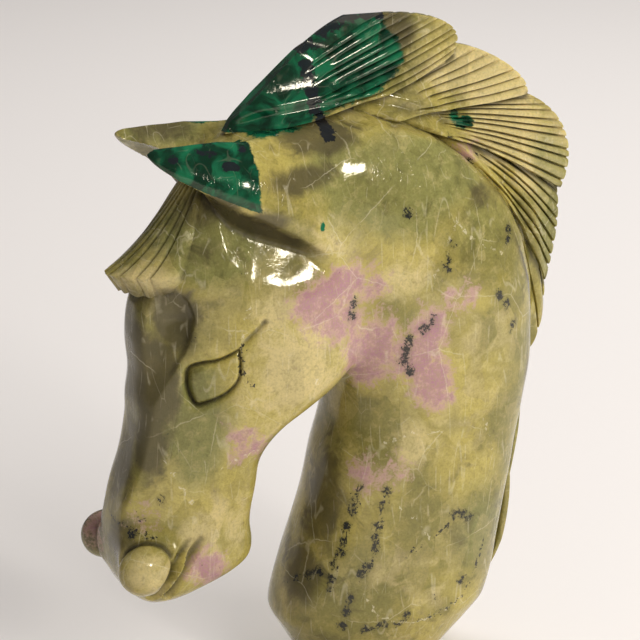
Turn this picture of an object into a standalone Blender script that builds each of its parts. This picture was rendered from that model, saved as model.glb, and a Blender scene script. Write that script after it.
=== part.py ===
"""A horse's head and neck carved from one block of mottled green gemstone.

The horse faces -X, its mane runs down the back of the neck towards +X, and the two sides mirror each
other across the XZ plane. The origin is the middle of the flat underside, and +Z is up.
"""

import bmesh
import bpy
import numpy as np
from mathutils import Vector

# Driving dimensions, in metres.
HEIGHT = 0.242  # underside to the top of the front mane lock
NECK_THICKNESS = 0.056  # across the neck at its widest
HEAD_THICKNESS = 0.052  # across the cheeks
FOOT_LENGTH = 0.044  # front to back of the flat underside
FOOT_THICKNESS = 0.036  # across the flat underside
MANE_THICKNESS = 0.017  # across the mane at its roots
KERF_DEPTH = 0.0011  # depth of the cuts between the strands of hair
CARVING_GRAIN = 0.0011  # cell size that the blended forms are fused at
EYE_DEPTH = 0.0024  # how far the eyes are cut in
NOSTRIL_RADII = (0.0104, 0.0076, 0.0098)  # of each round nostril
NOSTRIL_BED_RADII = (0.014, 0.0092, 0.014)  # of the fullness of the muzzle around it
STONE_TRIANGLES = 4500  # faces left on the smooth stone once it is simplified

# The pose and the carving are drawn at a height of 242 units, so a unit is a millimetre at full size.
UNIT = HEIGHT / 242

# Horizontal sections: height, front, back, share of the half thickness, taper to the front, squareness.
NECK_SECTIONS = (
    (24, -36.5, 45.5, 0.99, 0.00, 2.4),
    (34, -34.5, 48.5, 1.00, 0.00, 2.4),
    (55, -27.5, 52, 1.00, 0.00, 2.4),
    (68, -23, 54.5, 1.00, 0.00, 2.4),
    (84, -19.5, 57, 1.00, 0.00, 2.4),
    (98, -15.5, 59.5, 1.00, -0.02, 2.4),
    (110, -15, 61.5, 1.01, -0.04, 2.4),
    (122, -20, 62, 1.01, -0.06, 2.4),
    (140, -28, 61.5, 0.99, -0.09, 2.4),
    (156, -36, 59.5, 0.94, -0.10, 2.3),
    (166, -40, 56, 0.90, -0.08, 2.4),
    (176, -42, 50, 0.86, -0.05, 2.4),
    (188, -42, 37.5, 0.78, 0.00, 2.5),
    (199, -38, 23, 0.65, 0.00, 2.5),
    (206, -32, 9, 0.46, 0.00, 2.4),
    (209.5, -26, -2, 0.26, 0.00, 2.0),
)
HEAD_SECTIONS = (
    (40.5, -88, -76, 0.34, 0.10, 2.4),
    (43.5, -92, -68, 0.50, 0.10, 2.8),
    (47, -95, -60, 0.60, 0.08, 3.2),
    (50.5, -97, -53, 0.64, 0.06, 3.6),
    (54, -98, -48.5, 0.66, 0.05, 3.8),
    (60, -98.5, -47.5, 0.66, 0.05, 3.8),
    (68, -99, -49, 0.66, 0.00, 4.2),
    (80, -97.2, -47.5, 0.68, -0.15, 4.0),
    (93, -93.2, -45.5, 0.76, -0.22, 3.4),
    (102, -90.9, -38, 0.86, -0.22, 3.1),
    (109, -90.0, -27, 0.92, -0.22, 2.9),
    (116, -90.3, -15, 0.97, -0.22, 2.6),
    (126, -89.3, -6, 1.00, -0.22, 2.5),
    (138, -90.4, -3, 1.00, -0.22, 2.4),
    (150, -89, -2, 0.98, -0.20, 2.3),
    (160, -84.5, -2, 0.96, -0.16, 2.4),
    (170, -79, -4, 0.92, -0.12, 2.4),
    (180, -73, -7, 0.86, -0.10, 2.4),
    (192, -66, -12, 0.74, -0.05, 2.3),
    (202, -58, -18, 0.58, 0.00, 2.2),
    (207, -50, -28, 0.36, 0.00, 2.0),
)
# Ear: x, then distance from the middle and height of its lower edge, of its top and of its inner side, its bulge,
# and distance and height of the crease where its underside meets the temple.
EAR_SECTIONS = (
    (-87.6, 15.3, 204.0, 14.9, 205.2, 14.4, 204.4, 0.2, 14.8, 204.2),
    (-86.6, 16.4, 202.6, 14.4, 206.0, 13.2, 203.6, 1.0, 14.8, 203.0),
    (-84, 18.2, 200.0, 14.2, 206.6, 11.8, 202.2, 2.0, 15.2, 200.8),
    (-78, 20.4, 195.6, 14.2, 206.6, 9.5, 201.0, 2.4, 16.4, 198.6),
    (-72, 22.0, 192.0, 14.2, 206.6, 7.0, 198.6, 2.5, 16.6, 194.6),
    (-66, 23.3, 188.8, 14.0, 206.6, 4.5, 195.0, 2.5, 16.0, 186.0),
    (-60, 24.8, 185.8, 13.8, 206.6, 2.5, 192.0, 2.4, 16.4, 178.0),
    (-53, 25.9, 182.4, 13.4, 206.6, 0.5, 189.0, 2.3, 17.4, 173.6),
    (-40, 26.6, 175.2, 12.4, 206.6, 0.0, 184.0, 2.2, 20.2, 168.6),
    (-31, 26.0, 169.2, 11.0, 206.6, 0.0, 180.0, 2.4, 22.2, 165.0),
    (-24, 24.2, 164.6, 9.4, 206.2, 0.0, 180.0, 2.4, 23.0, 162.8),
    (-14, 16.0, 170.0, 8.0, 205.0, 0.0, 180.0, 2.0, 15.0, 168.6),
)
# Nose: height, half width of its flat ridge, and x and distance from the middle of the edge to its side.
NOSE_EDGES = (
    (79, 8.5, -96.4, 9.8),
    (86, 8.5, -95.4, 9.9),
    (96, 8.5, -92.8, 10.2),
    (106, 8.5, -90.2, 10.8),
    (115, 8.0, -87.0, 12.0),
    (125, 7.5, -81.5, 13.8),
    (130, 7.5, -78.2, 14.8),
    (136, 7.5, -75.0, 15.8),
    (146, 8.0, -72.4, 16.2),
    (152, 8.2, -74.6, 16.2),
    (158, 8.5, -78.5, 15.6),
)
# Each mane lock: its lower, upper and tip edges as cubic curves in the side view, its strands, and the share
# of its fan above them that is left plain.
MANE_LOCKS = {
    "front_lock": (
        ((-54, 205), (-22, 208), (8, 210), (31, 223)),
        ((-52, 209), (-36, 222), (-24, 236), (-9, 241)),
        ((31, 223), (39, 234), (27, 241), (-9, 241)),
        10,
        0.14,
    ),
    "crown_lock": (
        ((-8, 203), (18, 206), (40, 204), (61, 206)),
        ((-6, 209), (12, 216), (24, 221), (34, 227)),
        ((61, 206), (64.5, 212), (48, 224), (34, 227)),
        7,
        0.0,
    ),
    "crest_lock": (
        ((6, 202), (30, 198), (54, 184), (75.5, 170)),
        ((8, 206), (28, 209), (46, 208), (60.5, 207)),
        ((75.5, 170), (83, 183), (79, 199), (60.5, 207)),
        11,
        0.0,
    ),
    "upper_lock": (
        ((20, 196), (43, 183), (59, 160), (70, 136)),
        ((22, 200), (44, 194), (62, 184), (75, 171)),
        ((70, 136), (74, 148), (77, 160), (75, 171)),
        8,
        0.0,
    ),
    "middle_lock": (
        ((36, 180), (52, 163), (60, 136), (61, 108)),
        ((38, 185), (55, 174), (67, 155), (70.5, 137)),
        ((61, 108), (66, 110), (72, 124), (70.5, 137)),
        4,
        0.0,
    ),
    "lower_lock": (
        ((54, 142), (57, 112), (55, 84), (52, 59)),
        ((58, 144), (64.5, 119), (62.5, 88), (57.5, 60)),
        ((52, 59), (54, 57.5), (56, 58), (57.5, 60)),
        3,
        0.0,
    ),
    "last_lock": (
        ((50, 86), (51, 62), (48, 42), (43, 23)),
        ((56, 88), (59.5, 62), (57.5, 40), (49.5, 27)),
        ((43, 23), (45, 22.5), (48, 24), (49.5, 27)),
        3,
        0.0,
    ),
}
CREST = ((-60, 200), (-40, 206), (-19, 208), (0, 207), (21, 200), (34, 191), (48, 176), (57, 159), (60, 141))
CREST = (*CREST, (61, 119), (57, 97), (54, 79), (50, 58), (47, 38), (42, 22), (36, 10))
# The forelock's middle line, from between the ears to the tip of the ledge over the nose.
FORELOCK_LINE = ((-62, 198), (-74, 182), (-82, 170), (-97.7, 161.2))
FORELOCK_STRANDS = 9

NOSTRIL = (-92.6, 18.2, 58.6)  # middle of each round nostril
NOSTRIL_BED = (-86, 12.2, 60)  # fullness of the muzzle that each nostril sits in
EYE_OUTLINE = (
    (-58.2, 136.3),
    (-62.7, 133.3),
    (-66.5, 131.7),
    (-70.0, 131.1),
    (-73.7, 129.9),
    (-75.6, 128.0),
    (-76.2, 124.4),
    (-75.6, 119.5),
    (-73.0, 114.8),
    (-68.0, 115.9),
    (-62.9, 118.8),
    (-59.5, 122.4),
    (-58.0, 126.0),
    (-57.6, 130.5),
)
BROW_LINE = ((-57.6, 137), (-54, 140.8), (-50, 144.6))
MOUTH_LINES = (
    ((-76.5, 65.5), (-79.0, 62.2), (-82.0, 58.4), (-85.3, 53.0), (-88.2, 47.0)),
    ((-71.5, 65.5), (-74.5, 60.8), (-77.6, 55.4), (-80.4, 51.0), (-83.0, 46.0)),
)


def clear_scene():
    """Removes what the scene holds, so that a second run starts clean."""
    for obj in list(bpy.data.objects):
        bpy.data.objects.remove(obj)


def add_object(name, mesh):
    """A mesh as an object in the scene."""
    obj = bpy.data.objects.new(name, mesh)
    bpy.context.scene.collection.objects.link(obj)
    return obj


def catmull_rom(rows, steps):
    """Rows of numbers with smooth in-between rows, `steps` to each gap."""
    rows = np.array(rows, float)
    padded = np.vstack((2 * rows[0] - rows[1], rows, 2 * rows[-1] - rows[-2]))
    found = []
    for i in range(1, len(rows)):
        before, start, end, after = padded[i - 1 : i + 3]
        for t in np.arange(steps) / steps:
            found.append(
                0.5 * (2 * start + (end - before) * t + (2 * before - 5 * start + 4 * end - after) * t**2)
                + 0.5 * (3 * start - before - 3 * end + after) * t**3
            )
    return np.array([*found, rows[-1]])


def bezier(points, t):
    """Point on a cubic curve."""
    a, b, c, d = (np.array(p, float) for p in points)
    return (1 - t) ** 3 * a + 3 * (1 - t) ** 2 * t * b + 3 * (1 - t) * t**2 * c + t**3 * d


def superellipse(count, power):
    """Unit outline between a circle (power 2) and a square."""
    angle = np.arange(count) * 2 * np.pi / count
    cos, sin = np.cos(angle), np.sin(angle)
    return np.sign(cos) * np.abs(cos) ** (2 / power), np.sign(sin) * np.abs(sin) ** (2 / power)


def skin(name, rings):
    """A closed solid through rings of points that all have one count."""
    shape = bmesh.new()
    loops = [[shape.verts.new(Vector(p) * UNIT) for p in ring] for ring in rings]
    for low, high in zip(loops, loops[1:]):
        for i in range(len(low)):
            j = (i + 1) % len(low)
            shape.faces.new((low[i], low[j], high[j], high[i]))
    shape.faces.new(loops[0][::-1])
    shape.faces.new(loops[-1])
    bmesh.ops.recalc_face_normals(shape, faces=shape.faces)
    mesh = bpy.data.meshes.new(name)
    shape.to_mesh(mesh)
    shape.free()
    return mesh


def body_block(name, sections, thickness, around=48):
    """Horizontal sections skinned into a block, as deep as the profile and as thick as it is told."""
    half = thickness / 2 / UNIT
    rings = []
    for height, front, back, share, taper, power in catmull_rom(sections, 5):
        cos, sin = superellipse(around, power)
        x = (front + back) / 2 - cos * (back - front) / 2
        y = -sin * half * share * (1 + taper * cos)
        rings.append([(px, py, height) for px, py in zip(x, y)])
    return skin(name, rings)


def foot_block():
    """The bottom of the neck, which narrows to the flat underside and runs on below it, to be levelled."""
    height, front, back, share, _, power = NECK_SECTIONS[0]
    neck = np.array((front, back, NECK_THICKNESS / 2 / UNIT * share))
    foot = np.array((-FOOT_LENGTH / 2, FOOT_LENGTH / 2, FOOT_THICKNESS / 2)) / UNIT
    cos, sin = superellipse(48, power)
    rings = []
    for t in np.linspace(-0.2, 1, 13):
        front, back, half = foot + (neck - foot) * t
        x = (front + back) / 2 - cos * (back - front) / 2
        rings.append([(px, py, t * height) for px, py in zip(x, -sin * half)])
    return skin("foot", rings)


def ear_block(side, steps=6):
    """An ear laid forwards: its lower edge stands off the head and its back end runs out in the temple."""
    rings = []
    for row in catmull_rom(EAR_SECTIONS, 4):
        x, edge_out, edge_up, top_out, top_up, in_out, in_up, bulge, crease_out, crease_up = row
        rise = top_up - edge_up
        edge = (edge_out, edge_up)
        top = (top_out, top_up)
        crown = (edge, (edge_out + bulge, edge_up + 0.35 * rise), (top_out + 0.5 * (edge_out - top_out), top_up), top)
        ring = [bezier(crown, t) for t in np.linspace(0, 1, 2 * steps + 1)]
        ring += [bezier((top, top, (in_out, in_up), (in_out, in_up)), t) for t in (0.33, 0.67, 1)]
        ring += [np.array((crease_out - 3, crease_up + 2)), np.array((crease_out, crease_up))]
        ring.append(np.array((crease_out + edge_out, crease_up + edge_up)) / 2)
        rings.append([(x, side * y, z) for y, z in ring])
    return skin("ear", rings)


def pebbles(name, centre, radii):
    """An ellipsoid on each side of the head."""
    meshes = []
    for side in (-1, 1):
        shape = bmesh.new()
        bmesh.ops.create_uvsphere(shape, u_segments=32, v_segments=20, radius=1)
        bmesh.ops.scale(shape, vec=radii, verts=shape.verts)
        bmesh.ops.translate(shape, vec=Vector((centre[0], side * centre[1], centre[2])) * UNIT, verts=shape.verts)
        mesh = bpy.data.meshes.new(name)
        shape.to_mesh(mesh)
        shape.free()
        meshes.append(mesh)
    return meshes


def fused(meshes, grain, rounds):
    """Meshes that overlap, as one skin, with the seams between them smoothed away."""
    shape = bmesh.new()
    for mesh in meshes:
        shape.from_mesh(mesh)
    joined = bpy.data.meshes.new("joined")
    shape.to_mesh(joined)
    shape.free()
    rough = add_object("rough", joined)
    remesh = rough.modifiers.new("fuse", "REMESH")
    remesh.mode = "VOXEL"
    remesh.voxel_size = grain
    smooth = rough.modifiers.new("soften", "SMOOTH")
    smooth.factor = 0.5
    smooth.iterations = rounds
    bpy.context.view_layer.update()
    graph = bpy.context.evaluated_depsgraph_get()
    mesh = bpy.data.meshes.new_from_object(rough.evaluated_get(graph))
    bpy.data.objects.remove(rough)
    return mesh


def distance_to_line(points, line):
    """Distance in the side view from each point to a line of points, and how far along it that is."""
    best = np.full(len(points), 1e9)
    place = np.zeros(len(points))
    for i, (a, b) in enumerate(zip(line[:-1], line[1:])):
        step = b - a
        t = np.clip((points - a) @ step / (step @ step), 0, 1)
        far = np.linalg.norm(points - a - t[:, None] * step, axis=1)
        nearer = far < best
        best[nearer] = far[nearer]
        place[nearer] = (i + t[nearer]) / (len(line) - 1)
    return best, place


def inside_outline(points, line):
    """Whether each point in the side view lies inside a closed line."""
    inside = np.zeros(len(points), bool)
    for a, b in zip(line[:-1], line[1:]):
        crosses = (a[1] > points[:, 1]) != (b[1] > points[:, 1])
        with np.errstate(divide="ignore", invalid="ignore"):
            x = a[0] + (points[:, 1] - a[1]) * (b[0] - a[0]) / (b[1] - a[1])
        inside ^= crosses & (points[:, 0] < x)
    return inside


def held_below(value, limit, ease):
    """A value kept under a limit, with the turn eased."""
    over = value - limit
    return value - 0.5 * (over + np.sqrt(over**2 + ease**2))


def points_of(mesh):
    """A mesh's points in drawing units, one row each."""
    place = np.empty(len(mesh.vertices) * 3, np.float32)
    mesh.vertices.foreach_get("co", place)
    return place.reshape(-1, 3).astype(float) / UNIT


def cut_planes(mesh):
    """Sets the temples back under the ears, and cuts the nose flat in front with a scoop beside its ridge."""
    points = points_of(mesh)
    x, y, z = points.T
    ear = np.array(EAR_SECTIONS, float)
    crease_out, crease_up = (np.interp(x, ear[:, 0], ear[:, i]) for i in (8, 9))
    beyond = np.clip((x + 24) / 12, 0, 1) + np.clip(-(x + 80) / 6, 0, 1) + (z < 120)
    limit = crease_out - 0.3 + 0.42 * np.maximum(0, crease_up - z) + 40 * beyond
    side = np.sign(y)
    out = held_below(np.abs(y), limit, 1.4)

    nose = np.array(NOSE_EDGES, float)
    head = np.array(HEAD_SECTIONS, float)
    ridge, edge_x, edge_out = (np.interp(z, nose[:, 0], nose[:, i]) for i in (1, 2, 3))
    front = np.interp(z, head[:, 0], head[:, 1])
    share = np.clip((out - ridge) / (edge_out - ridge), 0, 1)
    scoop = (0.4 + 1.8 * np.exp(-(((z - 147) / 14) ** 2))) * np.sin(np.pi * share)
    back_to = front + 0.3 + (edge_x - front) * share + scoop
    strength = np.clip((z - 71) / 8, 0, 1) * np.clip((170 - z) / 6, 0, 1) * (x < edge_x + 30)
    flat = -held_below(-x, -back_to, 0.5)
    thin = held_below(out, edge_out + 0.42 * (x - edge_x), 0.5)
    points[:, 0] += (flat - x) * strength * (out < edge_out + 4)
    points[:, 1] = side * (out + (thin - out) * np.clip((z - 60) / 14, 0, 1) * np.clip((170 - z) / 6, 0, 1))
    mesh.vertices.foreach_set("co", (points * UNIT).astype(np.float32).ravel())
    mesh.update()


def melt_temples(mesh):
    """Smooths the skin behind the ears and around the nostrils, so that both run out in the head."""
    count = len(mesh.vertices)
    x, y, z = points_of(mesh).T
    behind_ears = np.clip((x + 30) / 8, 0, 1) * np.clip((z - 158) / 8, 0, 1)
    above_edges = np.clip((x + 50) / 14, 0, 1) * np.clip((z + 0.62 * (x + 31) - 173) / 5, 0, 1)
    behind_ears = np.maximum(behind_ears, above_edges) * np.clip((10 - x) / 14, 0, 1)
    crown = np.clip((z - 199) / 6, 0, 1) * np.clip((x + 62) / 12, 0, 1)
    far = ((x - NOSTRIL[0]) ** 2 + (np.abs(y) - NOSTRIL[1]) ** 2 + (z - NOSTRIL[2]) ** 2) ** 0.5
    valley = np.clip(1.2 - np.abs(x + 14) / 16, 0, 1) * np.clip((z - 120) / 12, 0, 1)
    weights = np.maximum.reduce((behind_ears, crown, valley, 0.1 * np.clip((15 - far) / 3, 0, 1)))
    edges = np.empty(len(mesh.edges) * 2, np.int32)
    mesh.edges.foreach_get("vertices", edges)
    starts, ends = edges.reshape(-1, 2).T
    degree = np.bincount(starts, minlength=count) + np.bincount(ends, minlength=count)
    points = np.stack((x, y, z), 1).astype(float)
    for _ in range(60):
        mean = np.stack(
            [
                np.bincount(starts, points[ends, i], count) + np.bincount(ends, points[starts, i], count)
                for i in range(3)
            ],
            1,
        )
        points += (mean / degree[:, None] - points) * (0.6 * weights)[:, None]
    mesh.vertices.foreach_set("co", (points * UNIT).astype(np.float32).ravel())
    mesh.update()


def carve_face(mesh):
    """Cuts the eyes, the brow lines and the mouth into the skin, alike on both sides."""
    count = len(mesh.vertices)
    place = np.empty(count * 3, np.float32)
    normal = np.empty(count * 3, np.float32)
    mesh.vertices.foreach_get("co", place)
    mesh.vertex_normals.foreach_get("vector", normal)
    place = place.reshape(-1, 3).astype(float) / UNIT
    normal = normal.reshape(-1, 3).astype(float)
    side_view = place[:, [0, 2]]

    outline = catmull_rom((*EYE_OUTLINE, EYE_OUTLINE[0]), 4)
    off, _ = distance_to_line(side_view, outline)
    signed = np.where(inside_outline(side_view, outline), off, -off)
    front, back = outline[:, 0].min(), outline[:, 0].max()
    towards_front = np.clip((back - place[:, 0]) / (back - front), 0, 1)
    wall = np.clip(signed / 0.8 + 0.5, 0, 1)
    groove = np.exp(-(((signed - 0.9) / (0.6 + 0.7 * towards_front)) ** 2))
    depth = wall * (0.05 + 0.4 * towards_front) + groove * (0.45 + 0.5 * towards_front)
    depth *= EYE_DEPTH / UNIT
    from_nostril = (place * (1, 0, 1) + np.abs(place) * (0, 1, 0) - NOSTRIL) * UNIT / NOSTRIL_RADII
    depth += 1.1 * np.exp(-(((np.linalg.norm(from_nostril, axis=1) - 1.08) / 0.09) ** 2))
    for line, width, deep in ((BROW_LINE, 1.4, 0.9), (MOUTH_LINES[0], 3.0, 2.8), (MOUTH_LINES[1], 2.6, 2.8)):
        off, along = distance_to_line(side_view, catmull_rom(line, 6))
        reach = np.clip(1 - off / width, 0, 1)
        depth += deep * np.minimum(1, 0.25 + along * 3) * reach * (2 - reach)

    facing_sideways = np.clip((np.abs(place[:, 1]) - 5) / 4, 0, 1)
    place -= normal * (depth * facing_sideways)[:, None]
    mesh.vertices.foreach_set("co", (place * UNIT).astype(np.float32).ravel())
    mesh.update()


def strand_profile(place):
    """Height of rounded strands of hair side by side, 0 in the cuts at whole numbers and 1 between them."""
    return abs(np.sin(np.pi * place)) ** 0.6


def fan_solid(name, sheet_near, sheet_far):
    """A solid between two sheets of points of one size."""
    shape = bmesh.new()
    rows, columns = len(sheet_near), len(sheet_near[0])
    near = [[shape.verts.new(Vector(p) * UNIT) for p in row] for row in sheet_near]
    far = [[shape.verts.new(Vector(p) * UNIT) for p in row] for row in sheet_far]
    for i in range(rows - 1):
        for j in range(columns - 1):
            shape.faces.new((near[i][j], near[i + 1][j], near[i + 1][j + 1], near[i][j + 1]))
            shape.faces.new((far[i][j], far[i][j + 1], far[i + 1][j + 1], far[i + 1][j]))
    rim = [(0, j) for j in range(columns - 1)] + [(i, columns - 1) for i in range(rows - 1)]
    rim += [(rows - 1, j) for j in range(columns - 1, 0, -1)] + [(i, 0) for i in range(rows - 1, 0, -1)]
    for (i, j), (k, m) in zip(rim, rim[1:] + rim[:1]):
        shape.faces.new((near[i][j], near[k][m], far[k][m], far[i][j]))
    bmesh.ops.recalc_face_normals(shape, faces=shape.faces)
    mesh = bpy.data.meshes.new(name)
    shape.to_mesh(mesh)
    shape.free()
    return mesh


def uneven(places, strands):
    """Whole strands laid side by side in widths that a hand would leave: some a third wider than others."""
    widths = 1 + 0.28 * np.sin(2.3 * np.arange(strands) + strands)
    ends = np.concatenate(((0,), np.cumsum(widths) / widths.sum()))
    return np.interp(places, np.arange(strands + 1), ends)


def mane_lock(name, lower, upper, tip, strands, plain, per_strand=3, along=6):
    """A leaf of the mane: strands fan from its root, and its lower edge lies over the next leaf."""
    kerf = KERF_DEPTH / UNIT
    crest = np.array(CREST, float)
    shares = [j / per_strand for j in range(strands * per_strand + 1)]
    near = []
    far = []
    for i in range(along + 1):
        v = i / along
        row = []
        for share in shares:
            u = uneven(share, strands) * (1 - plain)
            if share == strands:
                u = 1.0
            straight = (1 - u) * bezier(lower, v) + u * bezier(upper, v)
            point = straight + v**2 * (bezier(tip, u) - (1 - u) * np.array(lower[3]) - u * np.array(upper[3]))
            out = distance_to_line(point[None], crest)[0][0]
            half = MANE_THICKNESS / 2 / UNIT * (0.42 + 0.6 * np.exp(-out / 7)) * (1 - 0.3 * np.exp(-((out / 3) ** 2)))
            half += 3.0 * (0.5 - u)
            half *= (1 - 0.45 * max(0.0, v - 0.75) * 4) * min(1, 0.3 + 3.5 * v)
            half -= kerf * (1 - strand_profile(share)) * np.clip((out - 4) / 5, 0, 1)
            row.append((point[0], max(0.8, half), point[1]))
        near.append([(x, -y, z) for x, y, z in row])
        far.append(row)
    return fan_solid(name, near, far)


def forelock(per_strand=3, along=7):
    """Hair that falls from between the ears over the forehead and ends in a ledge."""
    kerf = KERF_DEPTH / UNIT
    outer = []
    inner = []
    for i in range(along + 1):
        v = i / along
        x, z = bezier(FORELOCK_LINE, v)
        half = 4.6 + 10.6 * np.sin(v * np.pi / 2) ** 0.7
        drop = 2 + 15 * v**1.8
        top = []
        bottom = []
        for j in range(FORELOCK_STRANDS * per_strand + 1):
            side = 2 * uneven(j / per_strand, FORELOCK_STRANDS) - 1
            cut = kerf * (1 - strand_profile(j / per_strand)) * min(1, 0.2 + 2 * v)
            top.append((x + drop * abs(side) ** 1.7 + cut, side * half, z - cut * 0.6))
            back = 14 - 9.5 * v**6 * (1 + 0.2 * side**2)
            down = 9 - (2.6 - 6 * side**2 + 8.6 * side**4) * v**6
            bottom.append((x + drop * abs(side) ** 1.7 + back, side * half * 0.93, z - down))
        outer.append(top)
        inner.append(bottom)
    return fan_solid("forelock", outer, inner)


def slab():
    """The block that levels the underside of the foot."""
    shape = bmesh.new()
    bmesh.ops.create_cube(shape, size=1)
    bmesh.ops.scale(shape, vec=(HEIGHT, HEIGHT, HEIGHT / 8), verts=shape.verts)
    bmesh.ops.translate(shape, vec=(0, 0, -HEIGHT / 16), verts=shape.verts)
    mesh = bpy.data.meshes.new("bench")
    shape.to_mesh(mesh)
    shape.free()
    return mesh


def stone():
    """Mottled olive-green gemstone, polished."""
    material = bpy.data.materials.new("gemstone")
    material.use_nodes = True
    shader = material.node_tree.nodes["Principled BSDF"]
    shader.inputs["Base Color"].default_value = (0.38, 0.33, 0.13, 1)
    shader.inputs["Roughness"].default_value = 0.18
    shader.inputs["Metallic"].default_value = 0.0
    return material


def main():
    clear_scene()
    blocks = [
        foot_block(),
        body_block("neck", NECK_SECTIONS, NECK_THICKNESS),
        body_block("head", HEAD_SECTIONS, HEAD_THICKNESS),
        *pebbles("muzzle", NOSTRIL_BED, NOSTRIL_BED_RADII),
    ]
    blended = fused(blocks, CARVING_GRAIN, 24)
    cut_planes(blended)
    crisp = [ear_block(side) for side in (-1, 1)]
    crisp += pebbles("nostril", NOSTRIL, NOSTRIL_RADII)
    skin_mesh = fused([blended, *crisp], CARVING_GRAIN * 0.75, 2)
    melt_temples(skin_mesh)
    carve_face(skin_mesh)

    bust = add_object("horse_bust", skin_mesh)
    bust.data.materials.append(stone())
    thin = bust.modifiers.new("simplify", "DECIMATE")
    thin.ratio = STONE_TRIANGLES / sum(len(face.vertices) - 2 for face in skin_mesh.polygons)

    hair = bpy.data.collections.new("hair")
    bpy.context.scene.collection.children.link(hair)
    locks = [mane_lock(name, *lock) for name, lock in MANE_LOCKS.items()]
    for mesh in (*locks, forelock()):
        lock = bpy.data.objects.new(mesh.name, mesh)
        lock.hide_render = True
        lock.display_type = "WIRE"
        hair.objects.link(lock)
    union = bust.modifiers.new("join hair", "BOOLEAN")
    union.operation = "UNION"
    union.operand_type = "COLLECTION"
    union.collection = hair
    union.solver = "EXACT"

    bench = add_object("bench", slab())
    bench.hide_render = True
    bench.display_type = "WIRE"
    level = bust.modifiers.new("level underside", "BOOLEAN")
    level.operation = "DIFFERENCE"
    level.object = bench
    level.solver = "EXACT"


if __name__ == "__main__":
    main()
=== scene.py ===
"""Looks of the gemstone horse bust: its carved surface, its polished stone and the studio around it."""

from math import cos, radians, sin

import bmesh
import bpy
import numpy as np
from bpy.props import FloatProperty, FloatVectorProperty, IntProperty, PointerProperty
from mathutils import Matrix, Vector


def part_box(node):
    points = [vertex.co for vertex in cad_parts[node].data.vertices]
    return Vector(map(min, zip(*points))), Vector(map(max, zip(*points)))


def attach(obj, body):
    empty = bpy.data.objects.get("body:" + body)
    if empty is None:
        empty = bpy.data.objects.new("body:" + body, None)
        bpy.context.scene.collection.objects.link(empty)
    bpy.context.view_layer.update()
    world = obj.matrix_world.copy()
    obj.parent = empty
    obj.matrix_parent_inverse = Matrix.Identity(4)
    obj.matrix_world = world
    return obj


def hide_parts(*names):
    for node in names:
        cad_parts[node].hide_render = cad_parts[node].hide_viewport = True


bl_info = {
    "name": "Gemstone Horse Bust",
    "version": (1, 0, 0),
    "blender": (4, 5, 0),
    "location": "View3D > Sidebar > Horse Bust",
    "description": "Carves and polishes a horse's head and neck in mottled gemstone",
    "category": "Add Mesh",
}

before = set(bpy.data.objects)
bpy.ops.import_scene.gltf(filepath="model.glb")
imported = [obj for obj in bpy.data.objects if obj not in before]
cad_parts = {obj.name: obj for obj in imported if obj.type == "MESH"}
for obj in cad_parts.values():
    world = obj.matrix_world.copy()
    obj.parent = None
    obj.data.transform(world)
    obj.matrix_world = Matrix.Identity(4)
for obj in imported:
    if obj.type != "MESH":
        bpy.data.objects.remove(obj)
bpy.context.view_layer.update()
LOW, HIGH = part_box("horse_bust")

# The carving is drawn at a height of 241 units, so a unit is a millimetre at full size.
UNIT = (HIGH[2] - LOW[2]) / 241

# Horizontal sections: height, front, back, share of the half thickness, taper to the front, squareness.
NECK_SECTIONS = (
    (24, -36.5, 45.5, 0.99, 0.00, 2.4),
    (34, -34.5, 48.5, 1.00, 0.00, 2.4),
    (55, -27.5, 52, 1.00, 0.00, 2.4),
    (68, -23, 54.5, 1.00, 0.00, 2.4),
    (84, -19.5, 57, 1.00, 0.00, 2.4),
    (98, -15.5, 59.5, 1.00, -0.02, 2.4),
    (110, -15, 61.5, 1.01, -0.04, 2.4),
    (122, -20, 62, 1.01, -0.06, 2.4),
    (140, -28, 61.5, 0.99, -0.09, 2.4),
    (156, -36, 59.5, 0.94, -0.10, 2.3),
    (166, -40, 56, 0.90, -0.08, 2.4),
    (176, -42, 50, 0.86, -0.05, 2.4),
    (188, -42, 37.5, 0.78, 0.00, 2.5),
    (199, -38, 23, 0.65, 0.00, 2.5),
    (206, -32, 9, 0.46, 0.00, 2.4),
    (209.5, -26, -2, 0.26, 0.00, 2.0),
)
HEAD_SECTIONS = (
    (40.5, -88, -76, 0.34, 0.10, 2.4),
    (43.5, -92, -68, 0.50, 0.10, 2.8),
    (47, -95, -60, 0.60, 0.08, 3.2),
    (50.5, -97, -53, 0.64, 0.06, 3.6),
    (54, -98, -48.5, 0.66, 0.05, 3.8),
    (60, -98.5, -47.5, 0.66, 0.05, 3.8),
    (68, -99, -49, 0.66, 0.00, 4.2),
    (80, -97.2, -47.5, 0.68, -0.15, 4.0),
    (93, -93.2, -45.5, 0.76, -0.22, 3.4),
    (102, -90.9, -38, 0.86, -0.22, 3.1),
    (109, -90.0, -27, 0.92, -0.22, 2.9),
    (116, -90.3, -15, 0.97, -0.22, 2.6),
    (126, -89.3, -6, 1.00, -0.22, 2.5),
    (138, -90.4, -3, 1.00, -0.22, 2.4),
    (150, -89, -2, 0.98, -0.20, 2.3),
    (160, -84.5, -2, 0.96, -0.16, 2.4),
    (170, -79, -4, 0.92, -0.12, 2.4),
    (180, -73, -7, 0.86, -0.10, 2.4),
    (192, -66, -12, 0.74, -0.05, 2.3),
    (202, -58, -18, 0.58, 0.00, 2.2),
    (207, -50, -28, 0.36, 0.00, 2.0),
)
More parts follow.
